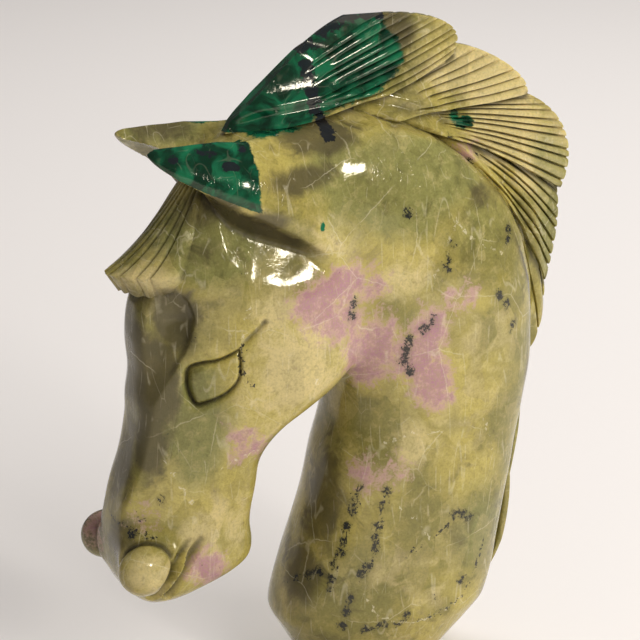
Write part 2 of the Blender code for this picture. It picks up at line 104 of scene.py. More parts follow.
# Ear: x, then distance from the middle and height of its lower edge, of its top and of its inner side, its
# bulge, and distance and height of the crease where its underside meets the temple.
EAR_SECTIONS = (
    (-87.6, 15.3, 204.0, 14.9, 205.2, 14.4, 204.4, 0.2, 14.8, 204.2),
    (-86.6, 16.4, 202.6, 14.4, 206.0, 13.2, 203.6, 1.0, 14.8, 203.0),
    (-84, 18.2, 200.0, 14.2, 206.6, 11.8, 202.2, 2.0, 15.2, 200.8),
    (-78, 20.4, 195.6, 14.2, 206.6, 9.5, 201.0, 2.4, 16.4, 198.6),
    (-72, 22.0, 192.0, 14.2, 206.6, 7.0, 198.6, 2.5, 16.6, 194.6),
    (-66, 23.3, 188.8, 14.0, 206.6, 4.5, 195.0, 2.5, 16.0, 186.0),
    (-60, 24.8, 185.8, 13.8, 206.6, 2.5, 192.0, 2.4, 16.4, 178.0),
    (-53, 25.9, 182.4, 13.4, 206.6, 0.5, 189.0, 2.3, 17.4, 173.6),
    (-40, 26.6, 175.2, 12.4, 206.6, 0.0, 184.0, 2.2, 20.2, 168.6),
    (-31, 26.0, 169.2, 11.0, 206.6, 0.0, 180.0, 2.4, 22.2, 165.0),
    (-24, 24.2, 164.6, 9.4, 206.2, 0.0, 180.0, 2.4, 23.0, 162.8),
    (-14, 16.0, 170.0, 8.0, 205.0, 0.0, 180.0, 2.0, 15.0, 168.6),
)
# Nose: height, half width of its flat ridge, and x and distance from the middle of the edge to its side.
NOSE_EDGES = (
    (79, 8.5, -96.4, 9.8),
    (86, 8.5, -95.4, 9.9),
    (96, 8.5, -92.8, 10.2),
    (106, 8.5, -90.2, 10.8),
    (115, 8.0, -87.0, 12.0),
    (125, 7.5, -81.5, 13.8),
    (130, 7.5, -78.2, 14.8),
    (136, 7.5, -75.0, 15.8),
    (146, 8.0, -72.4, 16.2),
    (152, 8.2, -74.6, 16.2),
    (158, 8.5, -78.5, 15.6),
)
# Each mane lock: its lower, upper and tip edges as cubic curves in the side view, its strands, the share of
# its fan above them that is left plain, and how far from the root its lowest and its highest cut begin.
MANE_LOCKS = {
    "front_lock": (
        ((-54, 205), (-22, 208), (8, 210), (31, 223)),
        ((-52, 209), (-36, 222), (-24, 236), (-9, 241)),
        ((31, 223), (39, 234), (27, 241), (-9, 241)),
        10,
        0.14,
        (0.3, 0.58),
    ),
    "crown_lock": (
        ((-8, 203), (18, 206), (40, 204), (61, 206)),
        ((-6, 209), (12, 216), (24, 221), (34, 227)),
        ((61, 206), (64.5, 212), (48, 224), (34, 227)),
        7,
        0.0,
        (0.33, 0.44),
    ),
    "crest_lock": (
        ((6, 202), (30, 198), (54, 184), (75.5, 170)),
        ((8, 206), (28, 209), (46, 208), (60.5, 207)),
        ((75.5, 170), (83, 183), (79, 199), (60.5, 207)),
        11,
        0.0,
        (0.34, 0.2),
    ),
    "upper_lock": (
        ((20, 196), (43, 183), (59, 160), (70, 136)),
        ((22, 200), (44, 194), (62, 184), (75, 171)),
        ((70, 136), (74, 148), (77, 160), (75, 171)),
        8,
        0.0,
        (0.34, 0.3),
    ),
    "middle_lock": (
        ((36, 180), (52, 163), (60, 136), (61, 108)),
        ((38, 185), (55, 174), (67, 155), (70.5, 137)),
        ((61, 108), (66, 110), (72, 124), (70.5, 137)),
        4,
        0.0,
        (0.3, 0.3),
    ),
    "lower_lock": (
        ((54, 142), (57, 112), (55, 84), (52, 59)),
        ((58, 144), (64.5, 119), (62.5, 88), (57.5, 60)),
        ((52, 59), (54, 57.5), (56, 58), (57.5, 60)),
        3,
        0.0,
        (0.15, 0.15),
    ),
    "last_lock": (
        ((50, 86), (51, 62), (48, 42), (43, 23)),
        ((56, 88), (59.5, 62), (57.5, 40), (49.5, 27)),
        ((43, 23), (45, 22.5), (48, 24), (49.5, 27)),
        3,
        0.0,
        (0.15, 0.15),
    ),
}
# The line in the side view where the mane leaves the neck.
CREST = (
    (-60, 200), (-40, 206), (-19, 208), (0, 207), (21, 200), (34, 191), (48, 176), (57, 159), (60, 141),
    (61, 119), (57, 97), (54, 79), (50, 58), (47, 38), (42, 22), (36, 10),
)
# A second channel between the neck and the strands, which leaves a smooth ridge between the two.
SECOND_CREST = ((4, 212), (20, 208), (34, 202), (46, 191), (57, 176), (65, 158), (67, 146), (66, 136))
# The forelock's middle line, from between the ears to the tip of the ledge over the nose.
FORELOCK_LINE = ((-62, 198), (-74, 182), (-82, 170), (-97.7, 161.2))
FORELOCK_STRANDS = 9

NOSTRIL = (-92.6, 18.2, 58.6)
NOSTRIL_RADII = (10.4, 7.6, 9.8)
NOSTRIL_BED = (-86, 12.2, 60)
NOSTRIL_BED_RADII = (14, 9.2, 14)
EYE_OUTLINE = (
    (-58.2, 136.3),
    (-62.7, 133.3),
    (-66.5, 131.7),
    (-70.0, 131.1),
    (-73.7, 129.9),
    (-75.6, 128.0),
    (-76.2, 124.4),
    (-75.6, 119.5),
    (-73.0, 114.8),
    (-68.0, 115.9),
    (-62.9, 118.8),
    (-59.5, 122.4),
    (-58.0, 126.0),
    (-57.6, 130.5),
)
SOCKET = (-77, 147)
BROW_LINE = ((-57.6, 137), (-54, 140.8), (-50, 144.6))
MOUTH_LINES = (
    ((-76.5, 65.5), (-79.0, 62.2), (-82.0, 58.4), (-85.3, 53.0), (-88.2, 47.0)),
    ((-71.5, 65.5), (-74.5, 60.8), (-77.6, 55.4), (-80.4, 51.0), (-83.0, 46.0)),
)

# Marks in the stone. Patches: middle (x, y, z), then their radii and strength.
LILAC_PATCHES = (
    (-31, -26, 148, 10, 14, 10, 1.0),
    (-20, -24, 153, 12, 12, 8, 1.0),
    (-22, -26, 140, 12, 14, 9, 0.9),
    (-10, -23, 152, 8, 12, 8, 0.75),
    (-14, -22, 128, 8, 14, 9, 0.85),
    (-9, -21, 120, 7, 12, 8, 0.9),
    (-6, -23, 130, 8, 14, 12, 0.95),
    (4, -26, 124, 11, 14, 9, 0.95),
    (11, -27, 132, 8, 14, 12, 0.95),
    (13, -27, 114, 9, 14, 12, 1.0),
    (22, -28, 144, 10, 14, 8, 0.6),
    (-9, -23, 80, 8, 12, 9, 0.7),
    (0, -25, 82, 6, 12, 8, 0.6),
    (-56, -23, 101, 9, 12, 9, 0.75),
    (-69, -17, 55, 9, 10, 8, 0.9),
    (-92, -16, 76, 8, 10, 9, 0.55),
    (-97, 14, 62, 8, 9, 8, 0.7),
    (-30, 26, 140, 16, 12, 14, 0.9),
    (14, 27, 100, 13, 12, 20, 0.8),
    (-70, 19, 100, 10, 10, 14, 0.6),
    (44, 8, 70, 12, 14, 12, 0.5),
    (34, -8, 190, 6, 8, 5, 0.7),
)
CREAM_PATCHES = (
    (-38, -25, 128, 22, 16, 20, 0.85),
    (2, -26, 154, 12, 14, 10, 0.7),
    (54, -8, 198, 18, 14, 16, 1.2),
    (-52, -25, 110, 14, 16, 12, 0.7),
    (-46, -25, 150, 14, 14, 9, 0.6),
    (-24, -23, 172, 14, 12, 12, 0.6),
    (30, -26, 118, 18, 14, 26, 0.55),
    (10, -26, 92, 16, 14, 12, 0.6),
    (12, -26, 38, 12, 16, 12, 0.55),
    (-3, -25, 44, 10, 14, 12, 0.5),
    (-92, -24, 60, 10, 10, 9, 0.8),
    (-86, -8, 160, 16, 14, 6, 0.9),
    (-66, -17, 68, 14, 12, 14, 0.8),
    (-30, 26, 118, 28, 16, 26, 0.8),
    (34, 26, 130, 24, 14, 30, 0.6),
    (44, 0, 216, 22, 14, 12, 1.2),
    (68, 0, 184, 14, 14, 20, 1.0),
)
GREEN_PATCHES = (
    (-60, -16, 168, 22, 20, 14, 0.9),
    (-78, -6, 176, 14, 20, 12, 0.7),
    (-72, 16, 204, 18, 10, 9, 1.0),
    (4, -24, 188, 36, 14, 18, 1.0),
    (34, -20, 164, 18, 14, 20, 0.7),
    (-76, -18, 112, 14, 14, 22, 0.9),
    (-40, -22, 96, 12, 14, 6, 0.6),
    (-16, -22, 100, 12, 18, 16, 0.4),
    (-24, -22, 34, 14, 18, 20, 0.5),
    (34, -24, 54, 16, 14, 18, 0.9),
    (54, 0, 100, 12, 30, 60, 0.7),
    (8, 26, 170, 34, 14, 26, 0.8),
    (-60, 20, 160, 26, 16, 20, 0.8),
    (72, 0, 160, 12, 12, 36, 0.8),
    (0, 26, 60, 30, 14, 26, 0.6),
)
# Smoky, glassy parts: the front of the nose, the hollow over the eye, the crown and the far nostril. Partly
# painted
# shade: the patches in the hollow over the eye, beside the nose ridge, under the near ear's edge and low on
# the neck.
SMOKY_AND_SHADE_PATCHES = (
    (-92, 0, 130, 13, 13, 20, 1.0),
    (-96, 0, 100, 10, 12, 26, 0.9),
    (-78, -14, 145, 7, 10, 12, 1.2),
    (-84, -12, 124, 7, 9, 18, 1.3),
    (-88, -12, 104, 6, 8, 16, 1.1),
    (-96, -8, 68, 8, 10, 9, 0.8),
    (-97, 16, 66, 12, 12, 12, 0.9),
    (-26, -12, 203, 18, 14, 6, 0.9),
    (-36, -20, 192, 15, 12, 5, 0.9),
    (-66, -16, 170, 8, 12, 8, 0.4),
    (-66, -23, 188, 10, 4, 4, 1.0),
    (-50, -26, 180, 9, 4, 4, 0.9),
    (-28, -12, 210, 12, 12, 5, 0.8),
    (-22, -10, 70, 8, 14, 30, 0.8),
    (-32, -12, 50, 7, 14, 22, 1.0),
    (-66, -12, 184, 12, 12, 10, 0.6),
    (9, 0, 235, 9, 12, 9, 0.9),
    (-70, 16, 206, 14, 8, 7, 0.8),
    (36, -22, 178, 8, 12, 6, 0.6),
)
# Outline in the side view of the emerald in the front lock, and the back border of that in the near ear.
EMERALD_LOCK = (
    (-62, 203), (-52, 217), (-38, 231), (-24, 246), (-2, 245), (6, 237), (11, 230), (12, 224), (8, 220),
    (3, 215), (-8, 212), (-18, 210), (-28, 207), (-36, 205), (-46, 203), (-62, 203),
)
EMERALD_EAR_BACK = -51.5
EMERALD_SPOTS = (
    (35, -6, 200, 4.2, 8, 2.4, 0.9),
    (31, -8, 203, 2.6, 8, 3.0, 0.8),
    (-29, -24, 176, 1.6, 5, 2.2, 0.75),
    (40, 10, 190, 5, 8, 4, 0.8),
)
# Black seams as lines in the side view with their half width, and black fern-like growths as points.
BLACK_SEAMS = (
    (((-25, 235), (-24.5, 227), (-24, 221), (-23.5, 214), (-22, 208), (-21, 204)), 2.3),
    (((-22, 236), (-14, 239.5), (-4, 241.5), (4, 240)), 1.5),
)
# Thin jagged cracks filled with black, and cracks filled with white.
BLACK_CRACKS = (
    (
        (-57.2, 136.5),
        (-58.4, 133.6),
        (-57.6, 130.8),
        (-58.8, 128.6),
        (-56.6, 126.2),
        (-55.8, 123.4),
        (-53.6, 121.4),
    ),
    ((-98, 74), (-92, 70.5), (-88, 69)),
    ((8, 24), (18, 25), (27, 30), (33, 40), (36, 50)),
    ((24, 62), (12, 54), (2, 50)),
)
WHITE_CRACKS = (
    ((-14, 46), (-13, 38), (-8, 29), (-1, 25.4), (8, 23.6), (18, 25), (26, 29)),
    ((22, 172), (27, 165), (34, 160), (42, 156)),
    ((12, 149), (15, 157), (22, 170)),
    ((-54, 152), (-56, 146), (-57, 139)),
    ((-84, 97), (-79, 88), (-74, 80)),
    ((-66, 92), (-58, 96), (-50, 98)),
    ((-4, 92), (6, 96), (16, 95)),
    ((28, 105), (34, 96), (38, 84)),
    ((-44, 133), (-36, 127), (-30, 119)),
    ((0, 70), (8, 62), (14, 52)),
)
FERNS = (
    (4, -26, 131), (3, -26, 127), (2, -25, 123), (4, -26, 119), (12, -27, 137), (9, -27, 134),
    (-16, -24, 146), (-17, -24, 142), (-12, -20, 77), (-14, -20, 72), (-15, -20, 68), (-17, -20, 62),
    (-18, -20, 57), (-19, -20, 53), (-4, -25, 75), (-5, -25, 70), (-7, -25, 63), (-8, -25, 58),
    (-8, -25, 54), (-11, -25, 48), (-13, -24, 45), (-23, -20, 43), (-22, -20, 48), (-23, -19, 38),
    (-29, -13, 43), (-32, -9, 41), (-35, -5, 38), (-26, -16, 45), (-18, -24, 36), (-19, -24, 31),
    (-20, -23, 26), (3, -28, 27), (0, -28, 24), (-6, -27, 25), (-12, -26, 24), (22, -28, 63),
    (25, -27, 62), (28, -27, 60), (39, -26, 142), (42, -25, 138), (45, -25, 130), (20, -26, 163),
    (18, -27, 155), (19, -27, 158), (4, -23, 176), (6, -23, 175), (40, -7, 189), (43, -7, 188),
    (35, -8, 186), (28, -9, 196), (45, -20, 163), (44, -20, 160), (-5, -18, 192), (-75, -17, 143),
    (-74, -18, 139), (-85, -15, 82), (-92, -13, 76), (-92, -16, 69), (-89, -18, 70), (-95, -12, 70),
    (-99, 15, 68), (-97, 18, 64), (-83, -16, 106), (14, -26, 32), (26, -26, 36), (-68, -19, 50),
    (-66, -19, 52), (-20, 26, 120), (-16, 26, 114), (-18, 26, 110), (14, 27, 60), (17, 27, 55),
    (16, 27, 50), (30, 25, 90), (31, 25, 96),
)
EAR_SPOTS = (
    (-70, -17, 204), (-67, -18, 203), (-62, -21, 199), (-59, -22, 199), (-55, -18, 204), (-80, -18, 203),
)

# The view's width at its middle in metres, the camera's sensor in millimetres, the view's middle, the colour
# of the two lights that stand for the window, and how far below the foot the floor lies, in metres.
VIEW_WIDTH = 0.224
SENSOR_WIDTH = 36
VIEW_MIDDLE = (-18, 0, 133)
DAYLIGHT = (1.0, 0.98, 0.95)
FLOOR_GAP = 0.0002

# How much coarser the first skin is fused, how often the ears' seams and then the temples are smoothed, and
# the angle in degrees from which on an edge stays crisp.
ROUGH_GRAIN = 1.3
CRISP_ROUNDS = 3
MELT_ROUNDS = 180
CRISP_ANGLE = 50


def add_piece(name, mesh):
    """A mesh as an object in the scene."""
    piece = bpy.data.objects.new(name, mesh)
    bpy.context.scene.collection.objects.link(piece)
    return piece


def keep_result(piece):
    """Turns a piece's modifiers into plain mesh."""
    bpy.context.view_layer.update()
    graph = bpy.context.evaluated_depsgraph_get()
    result = bpy.data.meshes.new_from_object(piece.evaluated_get(graph))
    piece.modifiers.clear()
    piece.data = result


def points_of(mesh):
    """A mesh's points in drawing units, one row each."""
    flat = np.empty(len(mesh.vertices) * 3, np.float32)
    mesh.vertices.foreach_get("co", flat)
    return flat.reshape(-1, 3).astype(float) / UNIT


def normals_of(mesh):
    """The way that the skin faces at each of a mesh's points."""
    flat = np.empty(len(mesh.vertices) * 3, np.float32)
    mesh.vertex_normals.foreach_get("vector", flat)
    return flat.reshape(-1, 3).astype(float)


def move_points(mesh, points):
    """Puts a mesh's points at new places in drawing units."""
    mesh.vertices.foreach_set("co", (points * UNIT).astype(np.float32).ravel())
    mesh.update()


def edges_of(mesh):
    """Both ends of each of a mesh's edges, and how many edges meet at each point."""
    flat = np.empty(len(mesh.edges) * 2, np.int32)
    mesh.edges.foreach_get("vertices", flat)
    starts, ends = flat.reshape(-1, 2).T
    count = len(mesh.vertices)
    return starts, ends, np.bincount(starts, minlength=count) + np.bincount(ends, minlength=count)


def means_around(values, starts, ends, degree):
    """For each point, the mean of a value over the points that it shares an edge with."""
    count = len(degree)
    around = np.bincount(starts, values[ends], count) + np.bincount(ends, values[starts], count)
    return around / np.maximum(degree, 1)


def catmull_rom(rows, steps):
    """Rows of numbers with smooth in-between rows, `steps` to each gap."""
    rows = np.array(rows, float)
    padded = np.vstack((2 * rows[0] - rows[1], rows, 2 * rows[-1] - rows[-2]))
    found = []
    for i in range(1, len(rows)):
        before, start, end, after = padded[i - 1 : i + 3]
        for t in np.arange(steps) / steps:
            found.append(
                0.5 * (2 * start + (end - before) * t + (2 * before - 5 * start + 4 * end - after) * t**2)
                + 0.5 * (3 * start - before - 3 * end + after) * t**3
            )
    return np.array([*found, rows[-1]])


def bezier(points, t):
    """Point on a cubic curve."""
    a, b, c, d = (np.array(p, float) for p in points)
    return (1 - t) ** 3 * a + 3 * (1 - t) ** 2 * t * b + 3 * (1 - t) * t**2 * c + t**3 * d


def superellipse(count, power):
    """Unit outline between a circle (power 2) and a square."""
    angle = np.arange(count) * 2 * np.pi / count
    along, across = np.cos(angle), np.sin(angle)
    return np.sign(along) * np.abs(along) ** (2 / power), np.sign(across) * np.abs(across) ** (2 / power)


def skin(name, rings):
    """A closed solid through rings of points that all have one count."""
    shape = bmesh.new()
    loops = [[shape.verts.new(Vector(p) * UNIT) for p in ring] for ring in rings]
    for low, high in zip(loops, loops[1:]):
        for i in range(len(low)):
            j = (i + 1) % len(low)
            shape.faces.new((low[i], low[j], high[j], high[i]))
    shape.faces.new(loops[0][::-1])
    shape.faces.new(loops[-1])
    bmesh.ops.recalc_face_normals(shape, faces=shape.faces)
    mesh = bpy.data.meshes.new(name)
    shape.to_mesh(mesh)
    shape.free()
    return mesh


def body_block(name, sections, thickness, around=96):
    """Horizontal sections skinned into a block, as deep as the profile and as thick as it is told."""
    half = thickness / 2 / UNIT
    rings = []
    for height, front, back, share, taper, power in catmull_rom(sections, 8):
        along, across = superellipse(around, power)
        x = (front + back) / 2 - along * (back - front) / 2
        y = -across * half * share * (1 + taper * along)
        rings.append([(px, py, height) for px, py in zip(x, y)])
    return skin(name, rings)


def foot_block(neck_thickness, foot_length, foot_thickness):
    """The bottom of the neck, which narrows to the flat underside and runs on below it, to be levelled."""
    height, front, back, share, _, power = NECK_SECTIONS[0]
    neck = np.array((front, back, neck_thickness / 2 / UNIT * share))
    foot = np.array((-foot_length / 2, foot_length / 2, foot_thickness / 2)) / UNIT
    along, across = superellipse(96, power)
    rings = []
    for t in np.linspace(-0.2, 1, 19):
        front, back, half = foot + (neck - foot) * t
        x = (front + back) / 2 - along * (back - front) / 2
        rings.append([(px, py, t * height) for px, py in zip(x, -across * half)])
    return skin("foot", rings)


def ear_block(side, steps=14):
    """An ear laid forwards: its lower edge stands off the head and its back end runs out in the temple."""
    rings = []
    for row in catmull_rom(EAR_SECTIONS, 10):
        x, edge_out, edge_up, top_out, top_up, in_out, in_up, bulge, crease_out, crease_up = row
        rise = top_up - edge_up
        edge = (edge_out, edge_up)
        top = (top_out, top_up)
        brow = (edge_out + bulge, edge_up + 0.35 * rise)
        crown = (edge, brow, (top_out + 0.5 * (edge_out - top_out), top_up), top)
        ring = [bezier(crown, t) for t in np.linspace(0, 1, 2 * steps + 1)]
        ring += [bezier((top, top, (in_out, in_up), (in_out, in_up)), t) for t in (0.2, 0.4, 0.6, 0.8, 1)]
        ring.append(np.array((crease_out - 3, crease_up + 2)))
        ring.append(np.array((crease_out, crease_up)))
        ring.append(np.array(((crease_out + edge_out) / 2, (crease_up + edge_up) / 2)))
        rings.append([(x, side * y, z) for y, z in ring])
    return skin("ear", rings)


def pebbles(name, centre, radii):
    """An ellipsoid on each side of the head."""
    meshes = []
    for side in (-1, 1):
        shape = bmesh.new()
        bmesh.ops.create_uvsphere(shape, u_segments=64, v_segments=40, radius=UNIT)
        bmesh.ops.scale(shape, vec=radii, verts=shape.verts)
        place = Vector((centre[0], side * centre[1], centre[2]))
        bmesh.ops.translate(shape, vec=place * UNIT, verts=shape.verts)
        mesh = bpy.data.meshes.new(name)
        shape.to_mesh(mesh)
        shape.free()
        meshes.append(mesh)
    return meshes


def fuse(piece, meshes, grain, rounds):
    """Makes overlapping meshes one skin and smooths the seams between them."""
    shape = bmesh.new()
    for mesh in meshes:
        shape.from_mesh(mesh)
    joined = bpy.data.meshes.new("joined")
    shape.to_mesh(joined)
    shape.free()
    piece.data = joined
    remesh = piece.modifiers.new("fuse", "REMESH")
    remesh.mode = "VOXEL"
    remesh.voxel_size = grain
    soften = piece.modifiers.new("soften", "SMOOTH")
    soften.factor = 0.5
    soften.iterations = rounds
    keep_result(piece)


def distance_to_line(points, line):
    """Distance in the side view from each point to a line of points, and how far along it that is."""
    best = np.full(len(points), 1e9)
    place = np.zeros(len(points))
    for i, (a, b) in enumerate(zip(line[:-1], line[1:])):
        step = b - a
        t = np.clip((points - a) @ step / (step @ step), 0, 1)
        far = np.linalg.norm(points - a - t[:, None] * step, axis=1)
        nearer = far < best
        best[nearer] = far[nearer]
        place[nearer] = (i + t[nearer]) / (len(line) - 1)
    return best, place


def inside_outline(points, line):
    """Whether each point in the side view lies inside a closed line."""
    inside = np.zeros(len(points), bool)
    for a, b in zip(line[:-1], line[1:]):
        crosses = (a[1] > points[:, 1]) != (b[1] > points[:, 1])
        with np.errstate(divide="ignore", invalid="ignore"):
            x = a[0] + (points[:, 1] - a[1]) * (b[0] - a[0]) / (b[1] - a[1])
        inside ^= crosses & (points[:, 0] < x)
    return inside


def held_below(value, limit, ease):
    """A value kept under a limit, with the turn eased."""
    over = value - limit
    return value - 0.5 * (over + np.sqrt(over**2 + ease**2))


def cut_planes(mesh):
    """Sets the temples back under the ears, and cuts the nose flat in front with a scoop beside its ridge."""
    points = points_of(mesh)
    x, y, z = points.T
    ear = np.array(EAR_SECTIONS, float)
    crease_out, crease_up = (np.interp(x, ear[:, 0], ear[:, i]) for i in (8, 9))
    beyond = np.clip((x + 24) / 12, 0, 1) + np.clip(-(x + 80) / 6, 0, 1) + (z < 120)
    limit = crease_out - 0.3 + 0.42 * np.maximum(0, crease_up - z) + 40 * beyond
    side = np.sign(y)
    out = held_below(np.abs(y), limit, 1.2)

    nose = np.array(NOSE_EDGES, float)
    head = np.array(HEAD_SECTIONS, float)
    ridge, edge_x, edge_out = (np.interp(z, nose[:, 0], nose[:, i]) for i in (1, 2, 3))
    front = np.interp(z, head[:, 0], head[:, 1])
    share = np.clip((out - ridge) / (edge_out - ridge), 0, 1)
    scoop = (0.4 + 2.2 * np.exp(-(((z - 147) / 12) ** 2))) * np.sin(np.pi * share)
    back_to = front + 0.3 + (edge_x - front) * share + scoop
    strength = np.clip((z - 71) / 8, 0, 1) * np.clip((170 - z) / 6, 0, 1) * (x < edge_x + 30)
    flat = -held_below(-x, -back_to, 0.35)
    thin = held_below(out, edge_out + 0.42 * (x - edge_x), 0.35)
    points[:, 0] += (flat - x) * strength * (out < edge_out + 4)
    points[:, 1] = side * (out + (thin - out) * np.clip((z - 60) / 14, 0, 1) * np.clip((170 - z) / 6, 0, 1))
    move_points(mesh, points)


def melt_temples(mesh, rounds):
    """Smooths the skin behind the ears and around the nostrils, so that both run out in the head."""
    points = points_of(mesh)
    x, y, z = points.T
    behind_ears = np.clip((x + 30) / 8, 0, 1) * np.clip((z - 158) / 8, 0, 1) * np.clip((10 - x) / 14, 0, 1)
    above_edge = np.clip((x + 50) / 14, 0, 1) * np.clip((z + 0.62 * (x + 31) - 173) / 5, 0, 1)
    above_edge *= np.clip((10 - x) / 14, 0, 1)
    behind_ears = np.maximum(behind_ears, above_edge)
    crown = np.clip((z - 199) / 6, 0, 1) * np.clip((x + 62) / 12, 0, 1)
    far = ((x - NOSTRIL[0]) ** 2 + (np.abs(y) - NOSTRIL[1]) ** 2 + (z - NOSTRIL[2]) ** 2) ** 0.5
    valley = np.clip(1.2 - np.abs(x + 14) / 16, 0, 1) * np.clip((z - 120) / 12, 0, 1)
    weights = np.maximum.reduce((behind_ears, crown, valley, 0.02 * np.clip((15 - far) / 3, 0, 1)))
    starts, ends, degree = edges_of(mesh)
    for _ in range(rounds):
        mean = np.stack([means_around(points[:, i], starts, ends, degree) for i in range(3)], 1)
        points += (mean - points) * (0.6 * weights)[:, None]
    move_points(mesh, points)


def grinding_waves(points):
    """The slight unevenness that a hand-ground stone keeps, between -1 and 1."""
    waves = (
        (0.31, 0.12, 0.22, 0.4),
        (-0.16, 0.34, 0.27, 1.9),
        (0.42, -0.21, -0.13, 3.1),
        (0.11, 0.52, -0.38, 5.2),
        (-0.55, 0.10, 0.41, 2.6),
    )
    return sum(np.sin(points @ np.array(wave[:3]) + wave[3]) for wave in waves) / len(waves)


def cut_face(mesh, eye_depth):
    """Cuts the eyes, the brow lines, the mouth and the channel at the mane's root into the skin."""
    place = points_of(mesh)
    normal = normals_of(mesh)
    side_view = place[:, [0, 2]]

    outline = catmull_rom((*EYE_OUTLINE, EYE_OUTLINE[0]), 6)
    off, _ = distance_to_line(side_view, outline)
    signed = np.where(inside_outline(side_view, outline), off, -off)
    front, back = outline[:, 0].min(), outline[:, 0].max()
    towards_front = np.clip((back - place[:, 0]) / (back - front), 0, 1)
    wall = np.clip(signed / 0.5 + 0.5, 0, 1)
    groove = np.exp(-(((signed - 0.8) / (0.45 + 0.75 * towards_front)) ** 2))
    depth = wall * (0.05 + 0.4 * towards_front) + groove * (0.4 + 0.6 * towards_front)
    depth *= eye_depth / UNIT
    depth += 1.2 * np.exp(-(((place[:, 0] - SOCKET[0]) / 5) ** 2) - ((place[:, 2] - SOCKET[1]) / 9) ** 2)
    from_nostril = (place * (1, 0, 1) + np.abs(place) * (0, 1, 0) - NOSTRIL) / NOSTRIL_RADII
    depth += 1.3 * np.exp(-(((np.linalg.norm(from_nostril, axis=1) - 1.05) / 0.07) ** 2))

    for line, width, deep in ((BROW_LINE, 1.2, 0.9), (MOUTH_LINES[0], 2.6, 3.2), (MOUTH_LINES[1], 2.3, 3.2)):
        off, along = distance_to_line(side_view, catmull_rom(line, 8))
        reach = np.clip(1 - off / width, 0, 1)
        depth += deep * np.minimum(1, 0.25 + along * 3) * reach * (2 - reach)
    depth *= np.clip((np.abs(place[:, 1]) - 5) / 4, 0, 1)

    for line, width, deep in ((CREST, 2.0, 1.5), (SECOND_CREST, 1.6, 1.1)):
        off, _ = distance_to_line(side_view, np.array(line, float))
        depth += deep * np.exp(-((off / width) ** 2)) * np.clip((place[:, 0] + 20) / 10, 0, 1)
    depth += 0.16 * (1 + grinding_waves(place))
    move_points(mesh, place - normal * depth[:, None])


def strand_relief(place, cut_share):
    """Rounded strands side by side: depth of the saw cuts at whole numbers, and of the hollow beside them."""
    off = np.abs(place - np.round(place))
    return np.clip(1 - off / cut_share, 0, 1), (1 - 2 * off) ** 2


def uneven(places, strands):
    """Whole strands laid side by side in widths that a hand would leave: some a third wider than others."""
    widths = 1 + 0.28 * np.sin(2.3 * np.arange(strands) + strands)
    ends = np.concatenate(((0,), np.cumsum(widths) / widths.sum()))
    return np.interp(places, np.arange(strands + 1), ends)


def strand_places(strands, cut_share):
    """Where points stand across a fan of strands, with most of them in and beside the cuts."""
    steps = (0, 0.5 * cut_share, cut_share, 0.5 * (cut_share + 0.5), 0.5)
    steps = (*steps, 1 - 0.5 * (cut_share + 0.5), 1 - cut_share, 1 - 0.5 * cut_share)
    return np.array([i + step for i in range(strands) for step in steps] + [strands])


def fan_solid(name, near, far):
    """A solid between two sheets of points of one size, given as rows, columns and places."""
    rows, columns = near.shape[:2]
    number = np.arange(rows * columns).reshape(rows, columns)
    other = number + rows * columns
    faces = []
    for i in range(rows - 1):
        for j in range(columns - 1):
            faces.append((number[i, j], number[i + 1, j], number[i + 1, j + 1], number[i, j + 1]))
            faces.append((other[i, j], other[i, j + 1], other[i + 1, j + 1], other[i + 1, j]))
    rim = [(0, j) for j in range(columns - 1)] + [(i, columns - 1) for i in range(rows - 1)]
    rim += [(rows - 1, j) for j in range(columns - 1, 0, -1)] + [(i, 0) for i in range(rows - 1, 0, -1)]
    for here, there in zip(rim, rim[1:] + rim[:1]):
        faces.append((number[here], number[there], other[there], other[here]))
    points = np.concatenate((near.reshape(-1, 3), far.reshape(-1, 3))) * UNIT
    mesh = bpy.data.meshes.new(name)
    mesh.from_pydata(points.tolist(), [], [[int(i) for i in face] for face in faces])
    shape = bmesh.new()
    shape.from_mesh(mesh)
    bmesh.ops.recalc_face_normals(shape, faces=shape.faces)
    shape.to_mesh(mesh)
    shape.free()
    return mesh


def mane_lock(name, lower, upper, tip, strands, plain, begins, sizes, along=34):
    """A leaf of the mane: strands fan from its root, and its lower edge lies over the next leaf."""
    kerf = sizes.kerf_depth / UNIT
    crest = np.array(CREST, float)
    near = []
    for i in range(along + 1):
        v = i / along
        root, top = bezier(lower, v), bezier(upper, v)
        pitch = max(0.05, np.linalg.norm(top - root) * (1 - plain) / strands)
        cut_share = min(0.3, sizes.kerf_width / 2 / UNIT / pitch)
        shares = strand_places(strands, cut_share)
        u = uneven(shares, strands) * (1 - plain)
        u[-1] = 1.0
        tips = np.array([bezier(tip, s) for s in u])
        cut, hollow = strand_relief(shares, cut_share)
        reach = v * (1 - 0.012 * cut)
        point = np.outer(1 - u, root) + np.outer(u, top)
        point += (reach**2)[:, None] * (tips - np.outer(1 - u, lower[3]) - np.outer(u, upper[3]))
        out, _ = distance_to_line(point, crest)
        first = begins[0] + (begins[1] - begins[0]) * u + 0.07 * np.sin(4.1 * np.round(shares))
        begun = np.clip((v - first) / 0.14, 0, 1)
        begun *= begun * (3 - 2 * begun)
        half = sizes.mane_thickness / 2 / UNIT * (0.42 + 0.6 * np.exp(-out / 7))
        half += 0.9 * np.exp(-(((out - 7.6) / 1.7) ** 2)) - 1.6 * np.exp(-(((out - 3.4) / 2) ** 2))
        half += 3.0 * (0.5 - u)
        half *= (1 - 0.45 * max(0.0, v - 0.75) * 4) * min(1, 0.3 + 3.5 * v)
        half -= begun * (kerf * min(1, pitch / 1.5) * cut + 0.65 * min(1, pitch / 3.5) * hollow)
        half = np.maximum(0.8, half)
        near.append(np.stack((point[:, 0], -half, point[:, 1]), 1))
    near = np.array(near)
    return fan_solid(name, near, near * (1, -1, 1))


